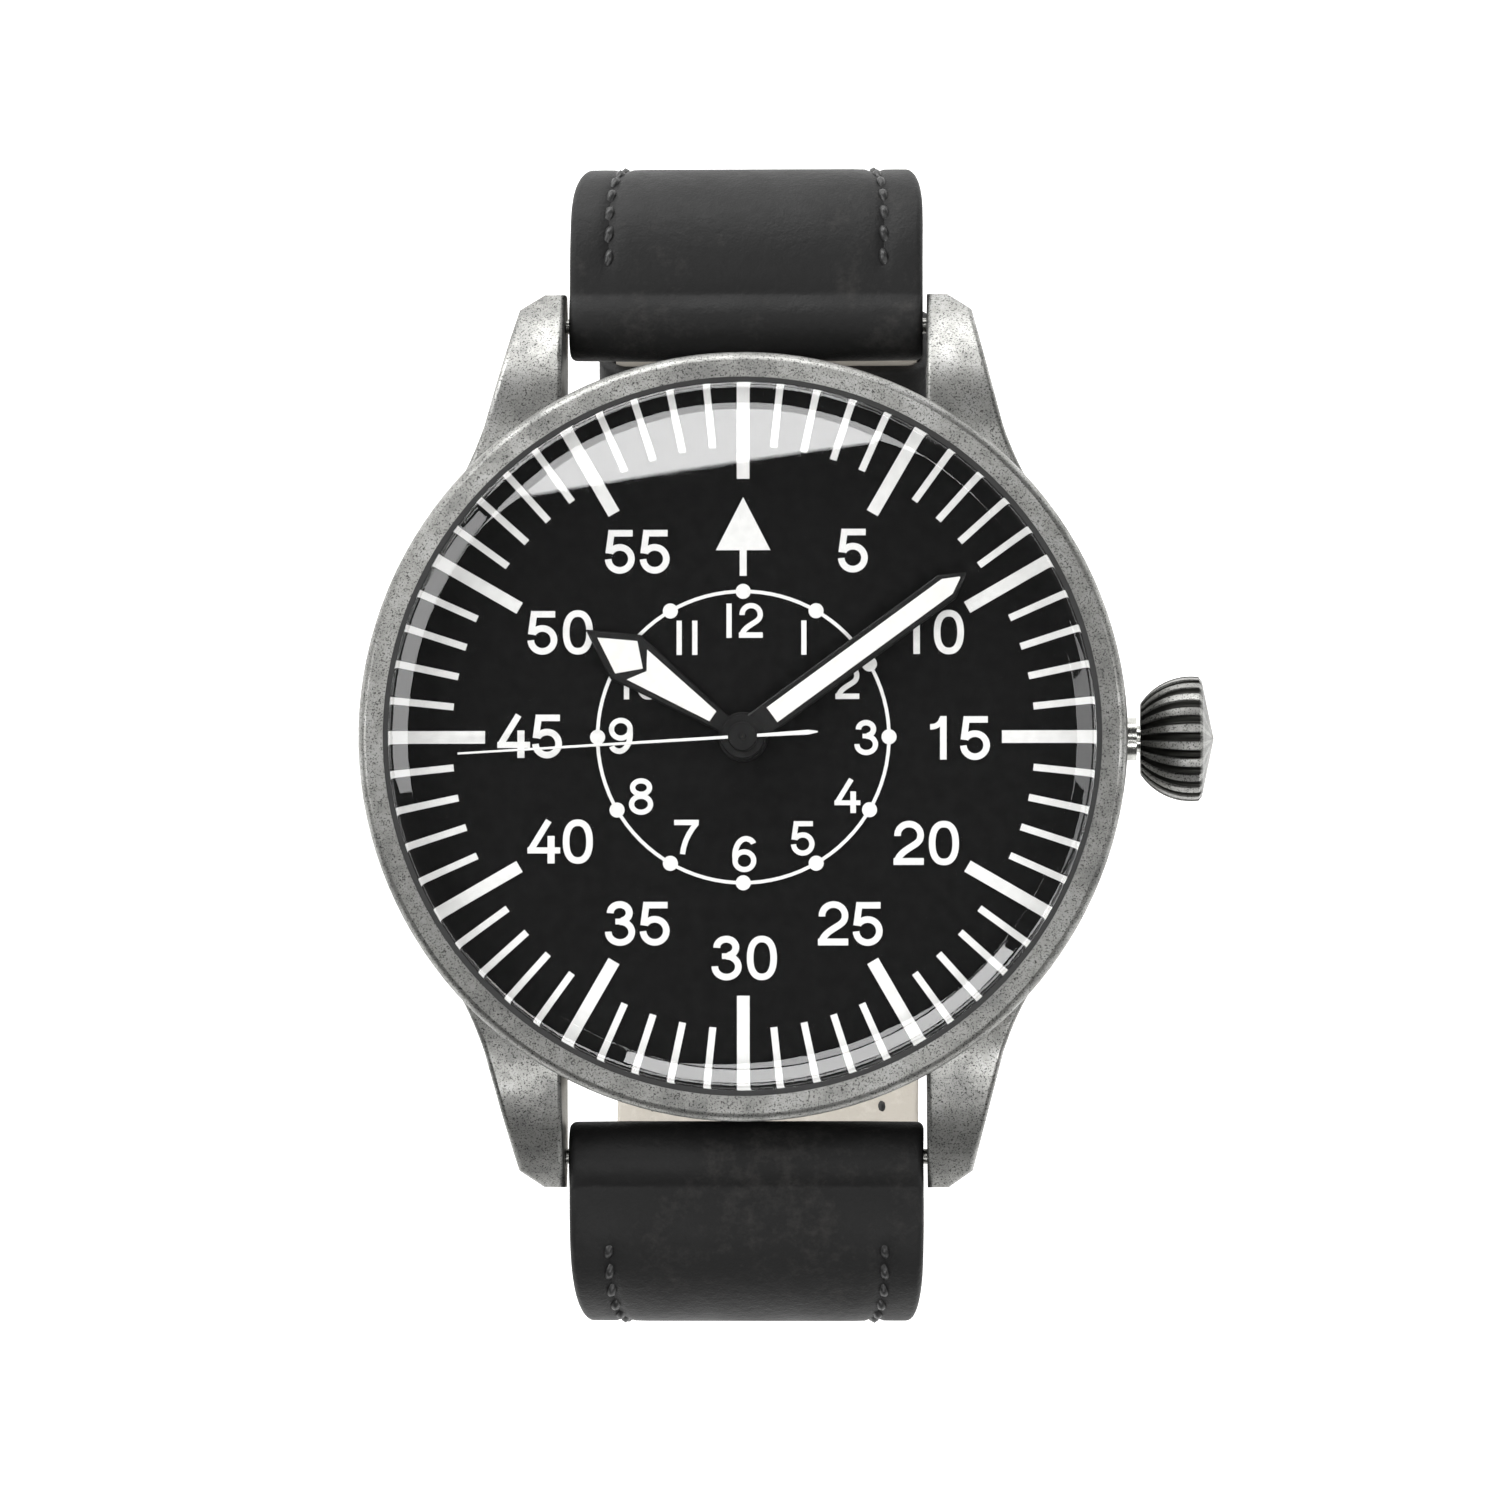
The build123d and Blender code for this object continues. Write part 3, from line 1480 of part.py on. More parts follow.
with BuildPart() as main_plate:
    with BuildSketch(Plane.XY.offset(plate_low)):
        Circle(plate_radius)
        Circle(center_arbor_radius + pivot_gap, mode=Mode.SUBTRACT)
        with Locations((keyless_slot_start + plate_radius / 2, 0)):
            Rectangle(plate_radius, 2 * keyless_slot_half, mode=Mode.SUBTRACT)
        with Locations(*jewel_places):
            Circle(jewel_radius, mode=Mode.SUBTRACT)
        with Locations(barrel_place):
            Circle(barrel_arbor_radius + pivot_gap, mode=Mode.SUBTRACT)
    extrude(amount=plate_top - plate_low)
    with BuildSketch(Plane.XY.offset(plate_top)):
        with Locations(minute_wheel_place):
            Circle(minute_post_radius)
    extrude(amount=motion_pinion_top - plate_top)
    with BuildSketch(Plane.XY.offset(plate_top)):
        with Locations((stem_groove_reach, lever_pivot_reach)):
            Circle(lever_post_radius)
    extrude(amount=keyless_thickness + touch_gap)
    with BuildSketch(Plane.YZ.offset(stem_start + touch_gap)):
        with Locations((0, (stem_block_low + plate_low) / 2)):
            Rectangle(stem_block_width, plate_low - stem_block_low)
        with Locations((0, stem_level)):
            Circle(stem_radius + pivot_gap, mode=Mode.SUBTRACT)
    extrude(amount=keyless_slot_start - stem_start - touch_gap)
save(main_plate, "main_plate")


bridge_outer = plate_radius - touch_gap
bridge_inner = plate_radius - bridge_foot_width
bridge_screw_reach = (bridge_outer + bridge_inner) / 2
cock_angle = degrees(atan2(balance_place[1], balance_place[0]))


def bridge_wedge(start, end):
    """Keep only the part of a sketch between two angles round the dial axis."""
    reach = 2 * plate_radius
    corners = [polar(reach, angle) for angle in (start, (start + end) / 2, end)]
    Polygon((0, 0), *corners, align=None, mode=Mode.INTERSECT)


def rim_foot(start, end):
    """Foot of a bridge along the rim of the plate between two angles."""
    Circle(bridge_outer)
    Circle(bridge_inner, mode=Mode.SUBTRACT)
    bridge_wedge(start, end)


def screw_holes(angles):
    """Holes for the bridge screws through a bridge and its foot."""
    for angle in angles:
        with Locations((*polar(bridge_screw_reach, angle), (bridge_low + plate_low) / 2)):
            Cylinder(bridge_screw_shank, plate_low - bridge_low, mode=Mode.SUBTRACT)


with BuildPart() as barrel_bridge:
    with BuildSketch(Plane.XY.offset(bridge_low)):
        Circle(bridge_outer)
        bridge_wedge(barrel_bridge_start, barrel_bridge_end)
        Circle(bridge_center_radius + bridge_center_gap, mode=Mode.SUBTRACT)
        with Locations((keyless_slot_start + plate_radius / 2, 0)):
            Rectangle(plate_radius, 2 * keyless_slot_half, mode=Mode.SUBTRACT)
        with Locations(barrel_place):
            Circle(barrel_arbor_radius + pivot_gap, mode=Mode.SUBTRACT)
    extrude(amount=bridge_top - bridge_low)
    with BuildSketch(Plane.XY.offset(bridge_top)):
        rim_foot(barrel_foot_start, barrel_bridge_end)
    extrude(amount=plate_low - bridge_top)
    with BuildSketch(Plane.XY.offset(bridge_low)):
        with Locations(crown_wheel_place):
            Circle(crown_wheel_post_radius)
        with Locations(click_place):
            Circle(click_post_radius)
    extrude(amount=ratchet_low - bridge_low)
    screw_holes(barrel_bridge_screw_angles)
save(barrel_bridge, "barrel_bridge")

with BuildPart() as train_bridge:
    with BuildSketch(Plane.XY.offset(bridge_low)):
        Circle(bridge_outer)
        bridge_wedge(train_bridge_start, train_bridge_end)
        Circle(bridge_center_radius)
        with Locations(polar(escape_reach / 2, escape_angle)):
            SlotOverall(escape_reach + 2 * hub_radius, 2 * hub_radius, rotation=escape_angle)
        with Locations((0, 0), third_place, escape_place):
            Circle(jewel_radius, mode=Mode.SUBTRACT)
    extrude(amount=bridge_top - bridge_low)
    with BuildSketch(Plane.XY.offset(bridge_top)):
        rim_foot(train_bridge_start, train_bridge_end)
    extrude(amount=plate_low - bridge_top)
    screw_holes(train_bridge_screw_angles)
save(train_bridge, "train_bridge")

with BuildPart() as balance_cock:
    with BuildSketch(Plane.XY.offset(bridge_low)):
        with Locations(balance_place):
            Circle(cock_width / 2)
        with Locations(polar(bridge_outer - cock_width / 2, cock_angle)):
            Circle(cock_width / 2)
        make_hull()
        with Locations(balance_place):
            Circle(jewel_radius, mode=Mode.SUBTRACT)
    extrude(amount=bridge_top - touch_gap - bridge_low)
    with BuildSketch(Plane.XY.offset(bridge_top - touch_gap)):
        rim_foot(cock_angle - cock_foot_half, cock_angle + cock_foot_half)
    extrude(amount=plate_low - bridge_top + touch_gap)
    screw_holes([cock_angle])
save(balance_cock, "balance_cock")

with BuildPart() as pallet_bridge:
    with BuildSketch(Plane.XY.offset(pallet_bridge_low)):
        with Locations(Location((*pallet_place, 0), pallet_bridge_angle)):
            SlotOverall(2 * pallet_bridge_half + pallet_bridge_width, pallet_bridge_width)
        with Locations(pallet_place):
            Circle(pivot_radius + pivot_gap, mode=Mode.SUBTRACT)
    extrude(amount=pallet_bridge_top - pallet_bridge_low)
    with BuildSketch(Plane.XY.offset(pallet_bridge_top)):
        for side in (0, 180):
            with Locations(beyond(pallet_place, pallet_bridge_half, pallet_bridge_angle + side)):
                Circle(pallet_bridge_width / 2)
    extrude(amount=plate_low - pallet_bridge_top)
save(pallet_bridge, "pallet_bridge")

with BuildPart() as jewels:
    with BuildSketch(Plane.XY.offset(plate_low)):
        with Locations(*jewel_places):
            Circle(jewel_radius)
            Circle(pivot_radius + pivot_gap, mode=Mode.SUBTRACT)
    extrude(amount=jewel_height + pivot_length / 2)
    with BuildSketch(Plane.XY.offset(bridge_top - touch_gap)):
        with Locations((0, 0), third_place, escape_place, balance_place):
            Circle(jewel_radius)
            Circle(pivot_radius + pivot_gap, mode=Mode.SUBTRACT)
    extrude(amount=-jewel_height)
save(jewels, "jewels")


# Movement holder, clamps and screws

clamp_low = bridge_low - clamp_thickness

with BuildPart() as movement_holder:
    with BuildSketch(Plane.XY.offset(bridge_low)):
        Circle(holder_outer)
        Circle(holder_inner, mode=Mode.SUBTRACT)
    extrude(amount=dial_ledge_level - touch_gap - bridge_low)
    with Locations((case_radius, 0, stem_level)):
        Cylinder(holder_stem_slot / 2, case_radius, rotation=(0, 90, 0), mode=Mode.SUBTRACT)
    with BuildSketch(Plane.XY.offset(bridge_low)):
        for angle in clamp_angles:
            with Locations(polar(clamp_screw_reach, angle)):
                Circle(clamp_screw_shank)
    extrude(amount=screw_shank_length, mode=Mode.SUBTRACT)
save(movement_holder, "movement_holder")

with BuildPart() as casing_clamps:
    with BuildSketch(Plane.XY.offset(clamp_low)):
        for angle in clamp_angles:
            with Locations(Location((*polar((clamp_inner + clamp_outer) / 2, angle), 0), angle)):
                Rectangle(clamp_outer - clamp_inner, clamp_width)
            with Locations(polar(clamp_screw_reach, angle)):
                Circle(clamp_screw_shank, mode=Mode.SUBTRACT)
    extrude(amount=clamp_thickness)
save(casing_clamps, "casing_clamps")


def screw(reach, angle, seat, head, shank):
    """Slotted screw at a radius and angle, its head under a seat and its shank running up."""
    with BuildPart() as piece:
        with Locations((*polar(reach, angle), seat - screw_head_height / 2)):
            Cylinder(head, screw_head_height)
        with Locations((*polar(reach, angle), seat - screw_head_height)):
            Box(2 * head, screw_slot, screw_head_height, mode=Mode.SUBTRACT)
        with Locations((*polar(reach, angle), seat + screw_shank_length / 2)):
            Cylinder(shank - touch_gap, screw_shank_length)
    return piece.part


with BuildPart() as casing_screws:
    for angle in clamp_angles:
        add(screw(clamp_screw_reach, angle, clamp_low, clamp_screw_head, clamp_screw_shank))
save(casing_screws, "casing_screws")

with BuildPart() as bridge_screws:
    for angle in (*barrel_bridge_screw_angles, *train_bridge_screw_angles, cock_angle):
        add(screw(bridge_screw_reach, angle, bridge_low, bridge_screw_head, bridge_screw_shank))
save(bridge_screws, "bridge_screws")
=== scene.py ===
import math
from functools import partial

import bpy
import numpy as np
from bpy.props import FloatProperty, FloatVectorProperty, PointerProperty
from mathutils import Matrix, Vector


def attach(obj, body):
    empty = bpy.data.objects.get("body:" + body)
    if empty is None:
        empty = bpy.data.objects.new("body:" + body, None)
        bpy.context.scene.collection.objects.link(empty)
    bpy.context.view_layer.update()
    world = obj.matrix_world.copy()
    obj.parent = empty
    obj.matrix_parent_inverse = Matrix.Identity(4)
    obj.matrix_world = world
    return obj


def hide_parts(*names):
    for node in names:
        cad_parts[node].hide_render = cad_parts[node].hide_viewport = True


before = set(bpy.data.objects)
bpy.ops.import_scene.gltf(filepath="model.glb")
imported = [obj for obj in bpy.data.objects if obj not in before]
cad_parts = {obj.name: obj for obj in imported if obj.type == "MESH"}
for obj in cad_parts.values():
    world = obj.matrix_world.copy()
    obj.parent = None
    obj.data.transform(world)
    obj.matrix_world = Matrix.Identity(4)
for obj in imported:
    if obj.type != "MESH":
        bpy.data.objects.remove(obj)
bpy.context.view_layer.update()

bl_info = {
    "name": "Pilot Watch Dresser",
    "version": (1, 0, 0),
    "blender": (4, 5, 0),
    "location": "View3D > Sidebar > Pilot Watch",
    "description": "Dial figures, hands, crystal, strap, finishes and studio for a pilot watch",
    "category": "Object",
}

MM = 0.001
SHARP_ANGLE = 35


# Colours and meshes


def paint(hex_code, alpha=1.0):
    """sRGB hex code turned to linear light, with an alpha."""
    channels = np.array([int(hex_code[i:i + 2], 16) for i in (1, 3, 5)]) / 255
    linear = np.where(channels <= 0.04045, channels / 12.92, ((channels + 0.055) / 1.055) ** 2.4)
    return (*(float(c) for c in linear), alpha)


def grid_quads(rows, columns, wrap_rows=False, wrap_columns=False):
    """Quads between neighbouring points of a grid of rows and columns, row by row."""
    i, j = np.meshgrid(
        np.arange(rows - (not wrap_rows)), np.arange(columns - (not wrap_columns)), indexing="ij"
    )
    below, beside = (i + 1) % rows, (j + 1) % columns
    quads = [i * columns + j, i * columns + beside, below * columns + beside, below * columns + j]
    return np.stack(quads, axis=-1).reshape(-1, 4)


def loop_cap(count, first):
    """Quads across a closed loop of an even count, joining each point to its mirror image."""
    k = np.arange(0, count // 2 - 1)
    return first + np.stack([k, k + 1, count - 2 - k, count - 1 - k], axis=-1)


def carried_quads(stations, around, closed=False):
    """Quads of a loop of points carried along a path, with capped ends unless the path closes."""
    quads = [grid_quads(stations, around, wrap_rows=closed, wrap_columns=True)]
    if not closed:
        quads += [loop_cap(around, 0), loop_cap(around, (stations - 1) * around)[:, ::-1]]
    return np.concatenate(quads)


def outward(points, quads):
    """Quads turned over where the volume they close, summed over both triangles of each, is
    negative."""
    a, b, c, d = (points[quads[:, k]] for k in range(4))
    volume = np.einsum("ij,ij->", a, np.cross(b, c)) + np.einsum("ij,ij->", a, np.cross(c, d))
    return quads if volume >= 0 else quads[:, ::-1]


def make_piece(name, shells, material, body, sharp=SHARP_ANGLE):
    """One object from closed shells of points in millimetres and quads, riding on a body."""
    points = np.concatenate([p for p, _ in shells])
    starts = np.cumsum([0] + [len(p) for p, _ in shells[:-1]])
    quads = np.concatenate([outward(p, q) + s for (p, q), s in zip(shells, starts)])
    mesh = bpy.data.meshes.new(name)
    mesh.vertices.add(len(points))
    mesh.vertices.foreach_set("co", (points * MM).astype(np.float32).ravel())
    mesh.loops.add(quads.size)
    mesh.loops.foreach_set("vertex_index", quads.astype(np.int32).ravel())
    mesh.polygons.add(len(quads))
    mesh.polygons.foreach_set("loop_start", np.arange(0, quads.size, 4, dtype=np.int32))
    mesh.update(calc_edges=True)
    mesh.polygons.foreach_set("use_smooth", np.ones(len(quads), dtype=bool))
    mesh.set_sharp_from_angle(angle=math.radians(sharp))
    mesh.materials.append(material)
    piece = bpy.data.objects.new(name, mesh)
    bpy.context.scene.collection.objects.link(piece)
    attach(piece, body)
    return piece


def cut_openings(piece, shells):
    """Cuts closed shells out of a piece and keeps the result as its mesh."""
    cutter = make_piece(piece.name + "_cutter", shells, piece.data.materials[0], "head")
    cut = piece.modifiers.new("openings", "BOOLEAN")
    cut.operation, cut.solver, cut.object = "DIFFERENCE", "EXACT", cutter
    ready = bpy.context.evaluated_depsgraph_get()
    mesh = bpy.data.meshes.new_from_object(piece.evaluated_get(ready))
    piece.modifiers.clear()
    piece.data = mesh
    mesh.set_sharp_from_angle(angle=math.radians(SHARP_ANGLE))
    spare = cutter.data
    bpy.data.objects.remove(cutter)
    bpy.data.meshes.remove(spare)


def spun(profile, count, centre=(0, 0)):
    """Closed side profile of radius and height turned round a vertical axis through the centre."""
    turn = np.linspace(0, 2 * math.pi, count, endpoint=False)
    radius, height = profile[:, 0], profile[:, 1]
    points = np.stack(
        [
            centre[0] + radius[:, None] * np.cos(turn),
            centre[1] + radius[:, None] * np.sin(turn),
            np.repeat(height[:, None], count, axis=1),
        ],
        axis=-1,
    )
    return points.reshape(-1, 3), grid_quads(len(profile), count, wrap_rows=True, wrap_columns=True)


def arc(centre, radius, start, end, count):
    """Points at even angles, in degrees, on a circle or, with two radii, on an ellipse."""
    turn = np.radians(np.linspace(start, end, count))
    return np.array(centre) + np.array(radius) * np.stack([np.cos(turn), np.sin(turn)], axis=-1)


def bezier(p0, p1, p2, p3, count):
    """Points of a cubic curve between its first and last control point."""
    t = np.linspace(0, 1, count)[:, None]
    p0, p1, p2, p3 = (np.array(p, float) for p in (p0, p1, p2, p3))
    return (1 - t) ** 3 * p0 + 3 * t * (1 - t) ** 2 * p1 + 3 * t**2 * (1 - t) * p2 + t**3 * p3


def smooth(t):
    """Even S from 0 to 1: 3t squared less 2t cubed, held at both ends."""
    t = np.clip(t, 0, 1)
    return t * t * (3 - 2 * t)


def beside(path, distance, closed=False):
    """Path moved sideways to its left by a distance, along the bisector at each corner."""
    if closed:
        step = np.roll(path, -1, axis=0) - path
        before, after = np.roll(step, 1, axis=0), step
    else:
        step = np.diff(path, axis=0)
        before, after = np.vstack([step[:1], step]), np.vstack([step, step[-1:]])
    before, after = (
        np.stack([-v[:, 1], v[:, 0]], axis=-1) / np.linalg.norm(v, axis=1)[:, None]
        for v in (before, after)
    )
    middle = before + after
    middle /= np.linalg.norm(middle, axis=1)[:, None]
    stretch = np.maximum(np.einsum("ij,ij->i", middle, before), 0.35)
    return path + distance * middle / stretch[:, None]


def ribbon(path, width, low, high, closed=False):
    """Flat bar of even width along a path, its section a rectangle between two levels."""
    left, right = (beside(path, s * width / 2, closed) for s in (1, -1))
    corners = [(left, low), (left, high), (right, high), (right, low)]
    points = np.stack(
        [np.column_stack([p, np.full(len(path), level)]) for p, level in corners], axis=1
    )
    return points.reshape(-1, 3), carried_quads(len(path), 4, closed)


def plate(outline, low, high, bevel, drop=0.6):
    """Flat plate over a closed outline, with a sloped rim: three copies of the outline joined in
    rings, the top one moved in by the bevel, which falls by a share of its width, and both ends
    closed by mirrored quads."""
    x, y = outline.T
    inward = math.copysign(bevel, np.dot(x, np.roll(y, -1)) - np.dot(y, np.roll(x, -1)))
    rim = beside(outline, inward, closed=True)
    rings = [(outline, low), (outline, high - bevel * drop), (rim, high)]
    points = np.stack(
        [np.column_stack([p, np.full(len(outline), level)]) for p, level in rings], axis=0
    )
    return points.reshape(-1, 3), carried_quads(3, len(outline))


# Materials


def set_inputs(node, inputs):
    """Sets each input, or links it where it is given as a node and the name of its output."""
    for key, value in inputs.items():
        if isinstance(value, tuple) and isinstance(value[0], bpy.types.Node):
            node.id_data.links.new(value[0].outputs[value[1]], node.inputs[key])
        else:
            node.inputs[key].default_value = value


def add_node(tree, kind, output, inputs, stops=(), **settings):
    """One shader node with its settings, inputs and colour stops, handed on as the node and the
    name of its output."""
    node = tree.nodes.new("ShaderNode" + kind)
    for key, value in settings.items():
        setattr(node, key, value)
    set_inputs(node, inputs)
    if stops:
        ramp = node.color_ramp.elements
        while len(ramp) < len(stops):
            ramp.new(0.5)
        for stop, (place, colour) in zip(ramp, stops):
            stop.position, stop.color = place, colour
    return node, output


def new_material(name):
    """Material, the call that adds a node to it, its shader and the object's own coordinates."""
    material = bpy.data.materials.new(name)
    material.use_nodes = True
    add = partial(add_node, material.node_tree)
    shader = material.node_tree.nodes["Principled BSDF"]
    return material, add, shader, add("TexCoord", "Object", {})


def show(material, surface):
    """Puts a surface in place of the material's plain shader."""
    set_inputs(material.node_tree.nodes["Material Output"], {"Surface": surface})
    return material


def grains(place, size, **more):
    """Inputs of a pattern whose grains are about this many millimetres across."""
    return {"Vector": place, "Scale": 1 / (size * MM), **more}


def follow(value, low, high):
    """Inputs of a roughness that runs from low to high with a pattern's middle range."""
    return {"Value": value, "From Min": 0.3, "From Max": 0.7, "To Min": low, "To Max": high}


def two_tones(add, place, size, detail, base, shade):
    """Clouds of two close tones, each about this many millimetres across."""
    clouds = add("TexNoise", "Fac", grains(place, size, Detail=detail))
    return add("ValToRGB", "Color", {"Fac": clouds}, [(0.35, paint(shade)), (0.65, paint(base))])


def fine_grit(add, place, size, strength, depth):
    """Relief of grains of about this many millimetres, whose full height stands for the depth."""
    height = add("TexNoise", "Fac", grains(place, size))
    return add("Bump", "Normal", {"Height": height, "Strength": strength, "Distance": depth * MM})


def blasted_steel(name, finish, grooves=None):
    """Bead-blasted stainless steel, aged by rubbing: a grey satin skin with faint clouds, dark pits
    and bright worn specks of about 0.1 mm. Grooves, given as a count, the level of their axis
    along X and where they end, hold dark patina where the cosine of their turn is lowest."""
    material, add, shader, place = new_material(name)
    clouds = add("TexNoise", "Fac", grains(place, 2.6, Detail=6.0, Roughness=0.66))
    aged = [(0.36, finish["dark"]), (0.5, finish["base"]), (0.66, finish["light"])]
    tone = add("ValToRGB", "Color", {"Fac": clouds}, aged)
    specks = add("TexNoise", "Fac", grains(place, 0.1, Roughness=0.7))
    pitted = [(0.36, paint("#6f6f6f")), (0.47, paint("#ffffff")), (0.6, paint("#ffffff"))]
    worn = add("ValToRGB", "Color", {"Fac": specks}, pitted)
    both = {"Factor": 1.0, "A": tone, "B": worn}
    skin = add("Mix", "Result", both, data_type="RGBA", blend_type="MULTIPLY")
    if grooves:
        count, level, end = grooves
        parts, _ = add("SeparateXYZ", "X", {"Vector": place})
        rise = add("Math", "Value", {0: (parts, "Z"), 1: level * MM}, operation="SUBTRACT")
        turn = add("Math", "Value", {0: rise, 1: (parts, "Y")}, operation="ARCTAN2")
        wave = add("Math", "Value", {0: turn, 1: float(count)}, operation="MULTIPLY")
        ridge = add("Math", "Value", {0: wave}, operation="COSINE")
        flank = add("MapRange", "Result", {"Value": ridge, "From Min": -0.2, "From Max": 0.45})
        edge = {"From Min": end * MM, "From Max": (end + 0.15) * MM, "To Max": 0.6}
        cap = add("MapRange", "Result", {"Value": (parts, "X"), **edge})
        clean = add("Math", "Value", {0: flank, 1: cap}, operation="MAXIMUM")
        patina = {"Factor": clean, "A": paint("#242422"), "B": skin}
        skin = add("Mix", "Result", patina, data_type="RGBA")
    set_inputs(shader, {
        "Base Color": skin, "Normal": fine_grit(add, place, 0.1, 0.3, 0.02), "Metallic": 1.0,
        "Roughness": add("MapRange", "Result", follow(clouds, 0.46, 0.36)),
    })
    return material


def worked_metal(name, base, shade, grain, stretch, roughness):
    """Metal part by its working: a soft change of tone and a fine relief whose grains are drawn
    out along X, Y or Z by the stretch, as a lap, a lathe or a brush leaves them."""
    material, add, shader, place = new_material(name)
    drawn = add("Mapping", "Vector", {"Vector": place, "Scale": stretch})
    lines = add("TexNoise", "Fac", grains(drawn, grain))
    gloss = follow(lines, roughness * 0.8, roughness * 1.25)
    set_inputs(shader, {
        "Base Color": two_tones(add, drawn, grain * 6, 3.0, base, shade), "Metallic": 1.0,
        "Normal": add("Bump", "Normal", {"Height": lines, "Strength": 0.15, "Distance": 0.01 * MM}),
        "Roughness": add("MapRange", "Result", gloss),
    })
    return material


def plain_solid(name, base, shade, grain, roughness, strength=0.1, depth=0.01, sheen=0.5):
    """Paint, plastic or rubber by its making: clouds of two close tones and a fine relief."""
    material, add, shader, place = new_material(name)
    set_inputs(shader, {
        "Base Color": two_tones(add, place, grain * 8, 4.0, base, shade),
        "Normal": fine_grit(add, place, grain, strength, depth),
        "Roughness": roughness, "Specular IOR Level": sheen,
    })
    return material


def mineral_glass():
    """Mineral glass, ground and polished: clear, with a faint unevenness of the polish. Shadow and
    diffuse rays pass straight on, as through a coated crystal, so the dial is lit evenly."""
    material, add, shader, place = new_material("Mineral_glass_polished")
    polish = add("TexNoise", "Fac", grains(place, 9.0, Detail=1.0))
    set_inputs(shader, {
        "Base Color": paint("#ffffff"), "Transmission Weight": 1.0, "IOR": 1.52,
        "Roughness": add("MapRange", "Result", {"Value": polish, "To Min": 0.0, "To Max": 0.02}),
    })
    rays, shadow = add("LightPath", "Is Shadow Ray", {})
    through = {0: (rays, shadow), 1: (rays, "Is Diffuse Ray")}
    passing = add("Math", "Value", through, operation="MAXIMUM")
    clear = add("BsdfTransparent", "BSDF", {"Color": paint("#fbfbfb")})
    return show(material, add("MixShader", "Shader", {0: passing, 1: (shader, "BSDF"), 2: clear}))


def synthetic_ruby():
    """Synthetic ruby, bored and polished: a deep clear pink-red."""
    material, add, shader, place = new_material("Synthetic_ruby_polished")
    clouds = add("TexNoise", "Fac", grains(place, 0.4))
    reds = [(0.3, paint("#8f0d33")), (0.7, paint("#c2204f"))]
    set_inputs(shader, {
        "Base Color": add("ValToRGB", "Color", {"Fac": clouds}, reds),
        "Roughness": 0.08, "IOR": 1.77, "Transmission Weight": 0.4,
    })
    return material


def waxed_leather(name, base, scuff, pebble, roughness):
    """Vegetable-tanned calf, dyed and waxed: a pebbled grain of about 0.5 mm over fine pores,
    clouds in the dye, and paler rubbed patches."""
    material, add, shader, place = new_material(name)
    dye = add("TexNoise", "Fac", grains(place, 7.0, Detail=6.0, Roughness=0.6))
    rub = add("TexNoise", "Fac", grains(place, 0.9, Detail=4.0, Roughness=0.75))
    rubbed = add("Math", "Value", {0: dye, 1: rub}, operation="MULTIPLY")
    pebbles = add("TexVoronoi", "Distance", grains(place, pebble), feature="SMOOTH_F1")
    pores = add("TexNoise", "Fac", grains(place, 0.14, Detail=3.0))
    height = add("Math", "Value", {0: pebbles, 1: 0.7, 2: pores}, operation="MULTIPLY_ADD")
    tones = [(0.16, base), (0.27, base), (0.42, scuff)]
    gloss = follow(dye, roughness * 0.85, roughness * 1.2)
    set_inputs(shader, {
        "Base Color": add("ValToRGB", "Color", {"Fac": rubbed}, tones),
        "Normal": add("Bump", "Normal", {"Height": height, "Strength": 0.5, "Distance": 0.07 * MM}),
        "Roughness": add("MapRange", "Result", gloss), "Specular IOR Level": 0.22,
    })
    return material


def floor_paper(strength):
    """Matt studio paper: pale, seen bright by the camera, gloss and glass, with its shadow kept."""
    material, add, shader, place = new_material("Studio_paper_matt")
    fibre = add("TexNoise", "Fac", grains(place, 1.0, Detail=3.0))
    tones = [(0.3, paint("#e9e9e8")), (0.7, paint("#ededec"))]
    set_inputs(shader, {
        "Base Color": add("ValToRGB", "Color", {"Fac": fibre}, tones),
        "Roughness": 0.9, "Specular IOR Level": 0.1,
    })
    rays, camera = add("LightPath", "Is Camera Ray", {})
    seen = add("Math", "Value", {0: (rays, camera), 1: (rays, "Is Glossy Ray")}, operation="ADD")
    seen = add("Math", "Value", {0: seen, 1: (rays, "Is Transmission Ray")}, operation="ADD")
    level = add("Math", "Value", {0: seen, 1: strength}, operation="MULTIPLY")
    glow = add("Emission", "Emission", {"Color": paint("#ffffff"), "Strength": level})
    return show(material, add("AddShader", "Shader", {0: (shader, "BSDF"), 1: glow}))


def finish_nodes(material, *names):
    """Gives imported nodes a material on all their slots."""
    for name in names:
        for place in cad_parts[name].material_slots:
            place.material = material


# Dial figures: strokes drawn from their middle lines on a body 43 units high and up to 31 wide

BODY_HEIGHT, BODY_WIDTH, FIGURE_GAP = 43, 31.0, 3.6
# Widths of the figure 1, with its flag and as a plain stem, and how far the stem moves left
FLAGGED_ONE, PLAIN_ONE, PLAIN_SHIFT = 26.0, 16.0, -5.6
# Bottom and top of the print in millimetres; each stroke's film is a hair thicker than the last,
# so crossings have one top face
PRINT_LOW, PRINT_HIGH, FILM_STEP = 7.25, 7.31, 0.003
